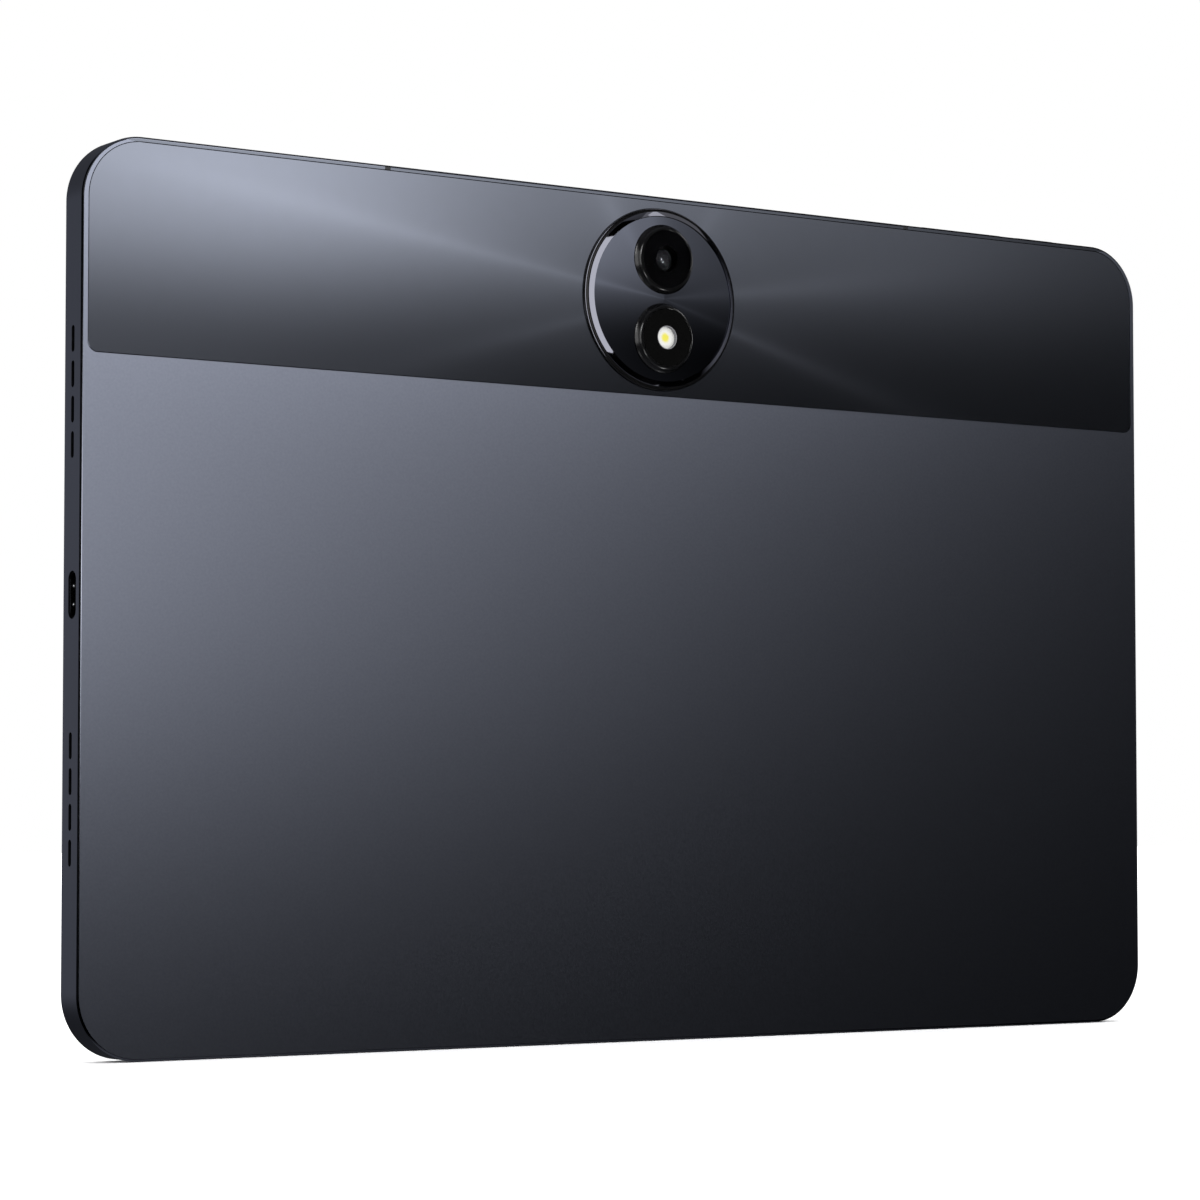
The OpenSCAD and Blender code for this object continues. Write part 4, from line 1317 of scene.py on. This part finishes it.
@dataclass
class ChargingPort:
    """Reversible charging port: plated shell, tongue with two rows of pads, and two spring nubs."""

    mouth: float = 131.7
    back: float = 124.7
    level: float = 0.4
    pitch: float = 0.5

    def build(self) -> None:
        """Builds the shell, the tongue and the contacts."""
        middle = (self.mouth + self.back) / 2
        depth = self.mouth - self.back
        length, thick, wall = 8.94, 3.16, 0.3
        shell = Bench.stadium(
            "port_shell", Axis.X, (middle, self.level, HALF_HEIGHT), length, thick, depth, 48
        )
        # The bore is set forward, so that it leaves a back wall.
        hollow = (middle + 0.35, self.level, HALF_HEIGHT)
        bore = Bench.stadium("bore", Axis.X, hollow, length - 2 * wall, thick - 2 * wall, depth, 48)
        Bench.boolean(shell, bore, Join.CUT)
        Bench.ease(shell, 0.08, 2, Bench.level(0, self.mouth))
        # The shell is drawn near black: painted shade inside the port.
        Bench.finish(shell, "tablet", "connector_steel", [Shop.DARK_NICKEL], ["usb_receptacle"])
        tongue = Bench.stadium("port_tongue", Axis.X, (125.45, self.level, HALF_HEIGHT), 8.3, 2.5, 0.9, 48)
        # The blade that carries the pads, 0.7 mm thick and 6.7 mm wide.
        tip, half_thick, half_blade = 130.35, 0.35, 3.35
        blade = Bench.slab(
            "blade",
            (125.6, self.level - half_thick, HALF_HEIGHT - half_blade),
            (tip, self.level + half_thick, HALF_HEIGHT + half_blade),
        )
        Bench.ease(blade, 0.15, 3, Bench.level(0, tip))
        Bench.boolean(tongue, blade, Join.WELD)
        Bench.finish(tongue, "tablet", "connector_plastic", [Shop.CONNECTOR_RESIN], ["usb_tongue"])
        self.build_contacts()

    def build_contacts(self) -> None:
        """Builds the pads on both sides of the tongue and the spring nubs facing them."""
        pads = []
        for side in (-1, 1):
            # Pads 0.06 mm thick and 0.26 mm wide, 12 to a row, half sunk in the blade.
            y = self.level + side * 0.37
            face = {y + side * 0.03: (0.015, 1)}
            for i in range(12):
                z = HALF_HEIGHT + (i - 5.5) * self.pitch
                low, high = (126.8, y - 0.03, z - 0.13), (130.1, y + 0.03, z + 0.13)
                pads.append(Bench.slab("pad", low, high, rims=face))
        Bench.finish(Bench.merge("port_pads", pads), "tablet", "connector_plastic", [Shop.HARD_GOLD])
        nubs = []
        # Radius of each nub and its distance from the port's middle plane.
        swell = ((0.45, 1.28), (0.42, 1.12), (0.32, 1.00), (0.18, 0.93), (0.06, 0.91))
        for offset in (-1.75, 1.75):
            for side in (-1, 1):
                profile = [(reach, self.level + side * rise) for reach, rise in swell]
                nubs.append(Bench.lathe("nub", (130.9, HALF_HEIGHT + offset), profile, 24, ring=False))
        Bench.finish(Bench.merge("port_springs", nubs), "tablet", "connector_steel", [Shop.STAMPED_STEEL])


@dataclass
class Grilles:
    """Four woven meshes behind the speaker slots, each a grid of crossed wires."""

    inner: float = 129.3
    level: float = 0.3
    group: float = 38.3
    length: float = 27.6
    height: float = 1.88
    pitch: float = 0.31
    wire: float = 0.11

    def build(self) -> None:
        """Builds the four meshes as one piece."""
        meshes = []
        for side in (-1, 1):
            for group in (-1, 1):
                Bench.clear()
                middle = Vector((side * self.inner, self.level, HALF_HEIGHT + group * self.group)) * MM
                bpy.ops.mesh.primitive_grid_add(
                    x_subdivisions=round(self.height / self.pitch),
                    y_subdivisions=round(self.length / self.pitch),
                    size=1,
                    location=middle,
                    rotation=(math.pi / 2, 0, math.pi / 2),
                )
                grid = Bench.adopt("grid")
                Bench.pick(grid, Kind.VERT, lambda a: True)
                size = (1, self.height * MM, self.length * MM)
                bpy.ops.transform.resize(value=size, center_override=middle)
                Bench.done()
                bpy.ops.object.modifier_add(type="WIREFRAME")
                grid.modifiers[-1].thickness = self.wire * MM
                bpy.ops.object.modifier_apply(modifier=grid.modifiers[-1].name)
                meshes.append(grid)
        wires = Bench.merge("speaker_wire_meshes", meshes)
        Bench.finish(wires, "tablet", "acoustic_mesh", [Shop.ACOUSTIC_MESH], ["speaker_meshes"])


@dataclass
class EdgeKey:
    """One key in the camera edge: a cap with a softened top, the flange that holds it, and its nubs."""

    name: str
    stands_for: str
    body: str
    x: float
    length: float
    nubs: tuple[float, ...]
    rib: bool = False
    level: float = 0.2
    width: float = 2.2
    depth: float = 3.7
    top: float = 175.1

    def build(self) -> None:
        """Builds the key as one welded piece."""
        middle = (self.x, self.level, self.top - self.depth / 2)
        cap = Bench.stadium(self.name, Axis.Z, middle, self.length, self.width, self.depth, 48)
        Bench.ease(cap, 0.22, 4, Bench.level(2, self.top))
        parts = [
            Bench.stadium("nub", Axis.Z, (self.x + nub, self.level, 171.0), 1.601, 1.6, 1.1, 24)
            for nub in self.nubs
        ]
        # The long key rocks on a rib and is held by a short wing, and the other one has a flange all round.
        if self.rib:
            parts.append(Bench.slab("rib", (self.x - 1.5, -0.6, 170.0), (self.x + 1.5, 1.0, 171.6)))
            parts.append(Bench.slab("wing", (self.x - 5, -1.2, 171.2), (self.x + 5, 1.6, 171.6)))
        else:
            half = self.length / 2 + 0.7
            parts.append(Bench.slab("flange", (self.x - half, -0.7, 171.3), (self.x + half, 1.1, 171.9)))
        for part in parts:
            Bench.boolean(cap, part, Join.WELD)
        Bench.finish(cap, self.body, "key_aluminium", [Shop.BLASTED_ALUMINIUM], [self.stands_for])


@dataclass
class CardDrawer:
    """Card tray in the far short wall, with the memory card in it."""

    face: float = -132.0
    height: float = 95.3
    level: float = 0.4

    def build(self) -> None:
        """Builds the tray and the card."""
        z = self.height
        # A round-ended face, the frame behind it, the card's pocket and the ejector's hole.
        tray = Bench.stadium("drawer", Axis.X, (-130.8, self.level, z), 15.5, 2.2, 2.4, 48)
        Bench.ease(tray, 0.12, 2, Bench.level(0, self.face))
        bar = Bench.slab("bar", (-129.7, 0.0, z - 6.3), (-112.0, 0.8, z + 6.3))
        Bench.boolean(tray, bar, Join.WELD)
        pocket = Bench.slab("pocket", (-128.1, 0.15, z - 5.55), (-113.0, 1.3, z + 5.55))
        Bench.boolean(tray, pocket, Join.CUT)
        pin = Bench.stadium("pin", Axis.X, (-131.4, self.level, z + 5.6), 0.901, 0.9, 2.4, 24)
        Bench.boolean(tray, pin, Join.CUT)
        Bench.finish(tray, "card_tray", "anodised_aluminium", [Shop.BLASTED_ALUMINIUM], ["card_tray"])
        # A card of 15 by 11 mm with eased edges, and its eight contacts 1.1 mm apart.
        low, high = (-128.05, 0.15, z - 5.5), (-113.05, 0.75, z + 5.5)
        card = Bench.slab("storage_card", low, high, (0.6, 0.6), 6, {high[1]: (0.08, 2)})
        Bench.finish(card, "card_tray", "chip_epoxy", [Shop.CHIP_EPOXY], ["memory_card"])
        pads = []
        for i in range(8):
            foot = z - 4.2 + i * 1.1
            low, high = (-128.0, 0.12, foot), (-125.2, 0.16, foot + 0.8)
            pads.append(Bench.slab("pad", low, high, rims={low[1]: (0.015, 1)}))
        Bench.finish(Bench.merge("storage_card_pads", pads), "card_tray", "chip_epoxy", [Shop.HARD_GOLD])


@dataclass
class PowerPack:
    """Two pouch cells with crimped seams and folded ends."""

    middle: float = 48.75
    width: float = 94.5
    low: float = 7.3
    high: float = 119.3

    def build(self) -> None:
        """Builds both cells."""
        # The pouch is folded over 0.7 mm at both faces, and its seam stands out all round.
        half = self.width / 2
        for middle, side in ((self.middle, "left"), (-self.middle, "right")):
            low, high = (middle - half + 1, -0.7, self.low), (middle + half - 1, 2.6, self.high)
            folds = {low[1]: (0.7, 4), high[1]: (0.7, 4)}
            cell = Bench.slab("pouch_" + side, low, high, (2.0, 2.0), 8, folds)
            low, high = (middle - half, 2.1, self.low + 1), (middle + half, 2.4, self.high - 1)
            seam = Bench.slab("seam", low, high, (1.0, 1.0), 6)
            Bench.boolean(cell, seam, Join.WELD)
            Bench.finish(cell, "tablet", "battery_pouch", [Shop.POUCH_FILM], ["battery_cell_" + side])


# --------------------------------------------------------------------------- carried CAD nodes


CARRIED: dict[Shop, tuple[str, ...]] = {
    Shop.SPEAKER_RESIN: (
        "band_carrier", "speaker_upper_left", "speaker_lower_left", "speaker_upper_right",
        "speaker_lower_right",
    ),
    Shop.PHOSPHOR: ("flash_led",),
    Shop.POLYIMIDE: (
        "flash_board", "camera_flex", "display_flex", "battery_flex", "side_flex",
        "wifi_antenna_left", "wifi_antenna_right", "key_flex",
    ),
    Shop.STAMPED_STEEL: ("camera_module", "shield_can", "key_switches", "card_reader"),
    Shop.FR4_BOARD: ("image_sensor", "battery_board", "main_board", "usb_board"),
    Shop.MILKY_TAPE: ("display_adhesive", "battery_adhesive"),
    Shop.BACKLIGHT_FILM: ("backlight_unit",),
    Shop.ROLLED_STEEL: ("support_plate", "key_bracket"),
    Shop.CHIP_EPOXY: ("processor", "memory_chips", "light_sensor"),
    Shop.GRAPHITE_FOIL: ("graphite_sheet",),
    Shop.CONNECTOR_RESIN: ("board_connectors",),
    Shop.LENS_RESIN: ("front_camera",),
    Shop.GILDED_CAN: ("microphones",),
    Shop.CABLE_JACKET: ("coax_cables",),
    Shop.SCREW_STEEL: ("screws",),
}


def dress_carried() -> None:
    """Gives each carried-over CAD node its finish."""
    for finish, names in CARRIED.items():
        for name in names:
            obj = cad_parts[name]
            obj.data.materials.clear()
            obj.data.materials.append(finish.shade())
            LOG.info("%s: CAD node with %s", name, finish.value.name)


# --------------------------------------------------------------------------- studio


@dataclass(frozen=True)
class Lamp:
    """Small soft lamp that lights only named pieces.

    way is the direction to it from target and reach its distance in metres, size its width and
    height in metres, and radiance its brightness.
    """

    name: str
    way: Point
    reach: float
    size: tuple[float, float]
    radiance: float
    lights: tuple[str, ...]
    target: Point = (0, 0.005, 0.153)

    def build(self) -> None:
        """Adds the lamp, facing its target, and links it to its pieces."""
        Bench.clear()
        aim = Vector(self.way).normalized()
        place = Vector(self.target) + aim * self.reach
        turn = aim.to_track_quat("Z", "Y").to_euler()
        bpy.ops.object.light_add(type="AREA", location=place, rotation=turn)
        lamp = bpy.context.object
        lamp.name = self.name
        lamp.data.shape = "RECTANGLE"
        lamp.data.size, lamp.data.size_y = self.size
        lamp.data.energy = self.radiance * math.pi * self.size[0] * self.size[1]
        lamp.visible_camera = False
        lamp.light_linking.receiver_collection = link_pieces(self.name + "_pieces", self.lights)


def link_pieces(name: str, pieces: Sequence[str]) -> bpy.types.Collection:
    """Gathers pieces in a collection that a lamp's light is linked to.

    Args:
        name: The collection's name.
        pieces: Names of the pieces.

    Returns:
        The collection.
    """
    linked = bpy.data.collections.new(name)
    for piece in pieces:
        linked.objects.link(bpy.data.objects[piece])
    return linked


@dataclass
class Softbox:
    """Large softbox behind the rear face: a bell of light over a sharp lower edge, and a low glow.

    Its light comes from a plane across Y. Places and widths on it are in metres along X or Z,
    peaks are radiances before the gain, and drop is how much the lower edge falls per metre of X.
    """

    depth: float = 0.303
    gain: float = 1.85
    bell_peak: float = 3.0755
    bell_low: float = 0.20515
    bell_high: float = 0.5301
    bell_edge: float = 0.01107
    bell_left: float = -0.10106
    bell_right: float = -0.00102
    bell_side: float = 0.09264
    drop: float = 0.0363
    glow_peak: float = 1.62
    glow_middle: tuple[float, float] = (0.280, 0.1183)
    glow_spread: tuple[float, float] = (0.1912, 0.03108)

    def build(self) -> None:
        """Adds the softbox, seen only by glossy surfaces."""
        Bench.clear()
        bpy.ops.mesh.primitive_plane_add(
            size=1, location=(0, self.depth, 0.2), rotation=(math.pi / 2, 0, 0), scale=(3.2, 2.4, 1)
        )
        box = Bench.adopt("studio_softbox")
        fabric = bpy.data.materials.new("softbox_fabric")
        tree = bare(fabric)
        place = node(tree, "ShaderNodeTexCoord").outputs["Object"]
        split = node(tree, "ShaderNodeSeparateXYZ", {0: place})
        x, z = split.outputs["X"], split.outputs["Z"]
        tilted = {0: x, 1: self.drop, 2: z}
        lower = node(tree, "ShaderNodeMath", tilted, operation="MULTIPLY_ADD").outputs[0]
        bell = self.step(tree, lower, self.bell_low, self.bell_edge)
        for value, at, over in (
            (z, self.bell_high, -self.bell_edge),
            (x, self.bell_left, self.bell_side),
            (x, self.bell_right, -self.bell_side),
        ):
            bound = self.step(tree, value, at, over)
            bell = node(tree, "ShaderNodeMath", {0: bell, 1: bound}, operation="MULTIPLY").outputs[0]
        peak = {0: bell, 1: self.bell_peak * self.gain}
        bell = node(tree, "ShaderNodeMath", peak, operation="MULTIPLY").outputs[0]
        squares = []
        for value, middle, spread in zip((x, z), self.glow_middle, self.glow_spread):
            scaled = {0: value, 1: 1 / spread, 2: -middle / spread}
            away = node(tree, "ShaderNodeMath", scaled, operation="MULTIPLY_ADD").outputs[0]
            twice = {0: away, 1: away}
            squares.append(node(tree, "ShaderNodeMath", twice, operation="MULTIPLY").outputs[0])
        reach = node(tree, "ShaderNodeMath", {0: squares[0], 1: squares[1]}, operation="ADD").outputs[0]
        power = node(tree, "ShaderNodeMath", {0: reach, 1: -0.5}, operation="MULTIPLY").outputs[0]
        glow = node(tree, "ShaderNodeMath", {0: power}, operation="EXPONENT").outputs[0]
        both = {0: glow, 1: self.glow_peak * self.gain, 2: bell}
        total = node(tree, "ShaderNodeMath", both, operation="MULTIPLY_ADD").outputs[0]
        light = node(tree, "ShaderNodeEmission", {"Color": linear("#FFFFFF"), "Strength": total})
        node(tree, "ShaderNodeOutputMaterial", {"Surface": light.outputs[0]})
        box.data.materials.append(fabric)
        box.visible_camera = box.visible_diffuse = box.visible_shadow = box.visible_transmission = False

    @staticmethod
    def step(tree: Tree, value: Socket, at: float, over: float) -> Socket:
        """Adds a soft logistic step.

        Args:
            tree: The softbox's node tree.
            value: Place along an axis in metres.
            at: Where the step is half way up.
            over: Its width in metres, below zero where it falls.

        Returns:
            The step, from 0 to 1.
        """
        line = {0: value, 1: -1 / over, 2: at / over}
        scaled = node(tree, "ShaderNodeMath", line, operation="MULTIPLY_ADD").outputs[0]
        power = node(tree, "ShaderNodeMath", {0: scaled}, operation="EXPONENT").outputs[0]
        below = node(tree, "ShaderNodeMath", {0: power, 1: 1.0}, operation="ADD").outputs[0]
        return node(tree, "ShaderNodeMath", {0: 1.0, 1: below}, operation="DIVIDE").outputs[0]


@dataclass
class Studio:
    """Pale floor, soft lights and the camera. Distances are in metres."""

    eye: Point = (0.43167, 0.62178, 0.0451)
    ahead: Point = (-0.5587, -0.8278, 0.0504)
    overhead: Point = (0.0278, 0.0420, 0.9987)
    lens: float = 109.55
    sensor: float = 36.0
    shift: tuple[float, float] = (-0.00152, 0.02983)
    soft_level: float = 1.9

    shaded: tuple[str, ...] = (
        "island_ring", "lens_window", "lens_window_print", "flash_window_pane", "front_element", *BEZELS,
    )
    lamps: tuple[Lamp, ...] = (
        Lamp("ring_strip", (0.36, 0.90, 0.13), 0.27, (0.26, 0.495), 1.05, ("island_ring",)),
        Lamp("ring_top", (-0.50, 0.31, 0.80), 0.6, (0.10, 0.10), 0.6, ("island_ring",)),
        Lamp("ring_foot", (-0.335, 0.592, -0.723), 0.6, (0.26, 0.26), 0.3, ("island_ring",)),
        Lamp("ring_sky", (-0.62, 0.28, 0.73), 0.6, (0.50, 0.30), 0.17, ("island_ring",)),
        Lamp("bezel_left", (0.768, 0.435, 0.455), 0.6, (0.20, 0.20), 8.0, BEZELS),
        Lamp("bezel_foot", (0.602, 0.465, -0.641), 0.6, (0.14, 0.14), 7.0, BEZELS),
        Lamp("bezel_low", (-0.393, 0.161, -0.897), 0.6, (0.14, 0.14), 6.0, BEZELS),
        Lamp("bezel_high", (-0.814, 0.244, 0.515), 0.6, (0.14, 0.14), 6.0, BEZELS),
        Lamp("bezel_right", (-0.967, 0.184, 0.15), 0.6, (0.14, 0.14), 4.0, BEZELS),
        Lamp("bezel_flank", (0.97, 0.22, 0.12), 0.6, (0.35, 0.45), 1.4, BEZELS),
        Lamp(
            "port_glint", (0.69, 0.70, 0.12), 0.5, (0.22, 0.22), 5.0, ("port_springs",),
            (0.1309, -0.0005, 0.0873),
        ),
        Lamp("glint_high", (-0.358, 0.92, 0.155), 0.5, (0.04, 0.04), 25.0, LENS),
        Lamp("glint_low", (-0.483, 0.87, 0.03), 0.5, (0.032, 0.032), 20.0, LENS),
    )

    def build(self) -> None:
        """Builds the camera, the floor, the softbox and the world."""
        self.build_camera()
        self.build_floor()
        Softbox().build()
        self.build_world()

    def light_pieces(self) -> None:
        """Adds the single pieces' lamps, and keeps the softbox's light off the pieces it would wash out."""
        for lamp in self.lamps:
            lamp.build()
        shaded = link_pieces("softbox_exceptions", self.shaded)
        for entry in shaded.collection_objects:
            entry.light_linking.link_state = "EXCLUDE"
        bpy.data.objects["studio_softbox"].light_linking.receiver_collection = shaded

    def build_camera(self) -> None:
        """Adds the camera, which looks at the rear from the port side."""
        forward, up = Vector(self.ahead).normalized(), Vector(self.overhead)
        right = forward.cross(up).normalized()
        up = right.cross(forward)
        Bench.clear()
        bpy.ops.object.camera_add()
        camera = bpy.context.object
        camera.name = "studio_camera"
        turn = Matrix((right, up, -forward)).transposed().to_4x4()
        camera.matrix_world = Matrix.Translation(self.eye) @ turn
        camera.data.lens = self.lens
        camera.data.sensor_width = self.sensor
        camera.data.shift_x, camera.data.shift_y = self.shift
        camera.data.clip_start, camera.data.clip_end = 0.01, 100.0
        bpy.context.scene.camera = camera

    def build_floor(self) -> None:
        """Adds the pale floor, which is clear from below."""
        Bench.clear()
        bpy.ops.mesh.primitive_plane_add(size=8.0, location=(0, 0, -0.0002))
        floor = Bench.adopt("studio_floor")
        paper = bpy.data.materials.new("matt_white_paper")
        tree = bare(paper)
        place = node(tree, "ShaderNodeTexCoord").outputs["Object"]
        # Paper fibres, drawn 2.5 mm wide.
        fibre = node(tree, "ShaderNodeTexNoise", {"Vector": place, "Scale": 400.0}).outputs["Fac"]
        tones = {0: fibre, 6: linear("#F7F7F8"), 7: linear("#FBFBFB")}
        tone = node(tree, "ShaderNodeMix", tones, data_type="RGBA").outputs[2]
        white = node(tree, "ShaderNodeBsdfDiffuse", {"Color": tone}).outputs[0]
        clear = node(tree, "ShaderNodeBsdfTransparent").outputs[0]
        back = node(tree, "ShaderNodeNewGeometry").outputs["Backfacing"]
        both = node(tree, "ShaderNodeMixShader", {0: back, 1: white, 2: clear}).outputs[0]
        node(tree, "ShaderNodeOutputMaterial", {"Surface": both})
        floor.data.materials.append(paper)
        floor.visible_glossy = floor.visible_shadow = floor.visible_transmission = False

    def build_world(self) -> None:
        """Adds the white surround, which glossy surfaces see as a dim room.

        The dim room is lightest in front of the screen, in a belt above the floor, with a faint glow at
        both flanks, overhead and underfoot. Diffuse surfaces get the same soft light from everywhere.
        """
        world = bpy.data.worlds.new("studio_surround")
        world.cycles.sampling_method = "NONE"
        bpy.context.scene.world = world
        tree = bare(world)
        path = node(tree, "ShaderNodeLightPath").outputs
        way = node(tree, "ShaderNodeTexCoord").outputs["Generated"]
        split = node(tree, "ShaderNodeSeparateXYZ", {0: way}).outputs
        aside = node(tree, "ShaderNodeMath", {0: split["X"]}, operation="ABSOLUTE").outputs[0]
        steep = node(tree, "ShaderNodeMath", {0: split["Z"]}, operation="ABSOLUTE").outputs[0]
        front, low, high, flank, poles = (
            node(tree, "ShaderNodeMapRange", span(*reach), interpolation_type=kind).outputs["Result"]
            for reach, kind in (
                ((split["Y"], -0.3, -0.95, 0.006, 0.21), "SMOOTHSTEP"),
                ((split["Z"], -0.25, 0.02, 0.15, 1.0), "LINEAR"),
                ((split["Z"], 0.05, 0.3, 1.0, 0.4), "LINEAR"),
                ((aside, 0.9, 0.995, 0.0, 0.16), "SMOOTHSTEP"),
                ((steep, 0.72, 0.95, 0.0, 0.12), "SMOOTHSTEP"),
            )
        )
        belt = node(tree, "ShaderNodeMath", {0: high, 1: low}, operation="MULTIPLY").outputs[0]
        ends = node(tree, "ShaderNodeMath", {0: flank, 1: poles}, operation="ADD").outputs[0]
        room = {0: front, 1: belt, 2: ends}
        dim = node(tree, "ShaderNodeMath", room, operation="MULTIPLY_ADD").outputs[0]
        glossy, soft, seen = (
            node(tree, "ShaderNodeBackground", {"Color": linear(tone), "Strength": level}).outputs[0]
            for tone, level in (("#F4F6FF", dim), ("#FFFFFF", self.soft_level), ("#FFFFFF", 1.0))
        )
        # A ray that has come through glass to a matt surface counts as a diffuse one.
        through = {0: path["Diffuse Depth"], 1: path["Is Transmission Ray"], 2: path["Is Diffuse Ray"]}
        matt = node(tree, "ShaderNodeMath", through, operation="MULTIPLY_ADD", use_clamp=True).outputs[0]
        lit = node(tree, "ShaderNodeMixShader", {0: matt, 1: glossy, 2: soft}).outputs[0]
        both = node(tree, "ShaderNodeMixShader", {0: path["Is Camera Ray"], 1: lit, 2: seen}).outputs[0]
        node(tree, "ShaderNodeOutputWorld", {"Surface": both})
        bpy.context.scene.view_settings.view_transform = "Standard"


def main() -> None:
    """Builds the tablet's looks and the studio round it, in order."""
    logging.basicConfig(level=logging.INFO, format="%(name)s %(message)s")
    studio = Studio()
    studio.build()
    Shell().build()
    CameraBand().build()
    LensIsland().build()
    ScreenSide().build()
    ChargingPort().build()
    Grilles().build()
    EdgeKey("power_key", "power_button", "power_button", -104.4, 11.8, (0.0,)).build()
    EdgeKey("volume_key", "volume_rocker", "volume_rocker", -83.2, 23.6, (-8.0, 8.0), rib=True).build()
    CardDrawer().build()
    PowerPack().build()
    dress_carried()
    studio.light_pieces()


if __name__ == "__main__":
    main()
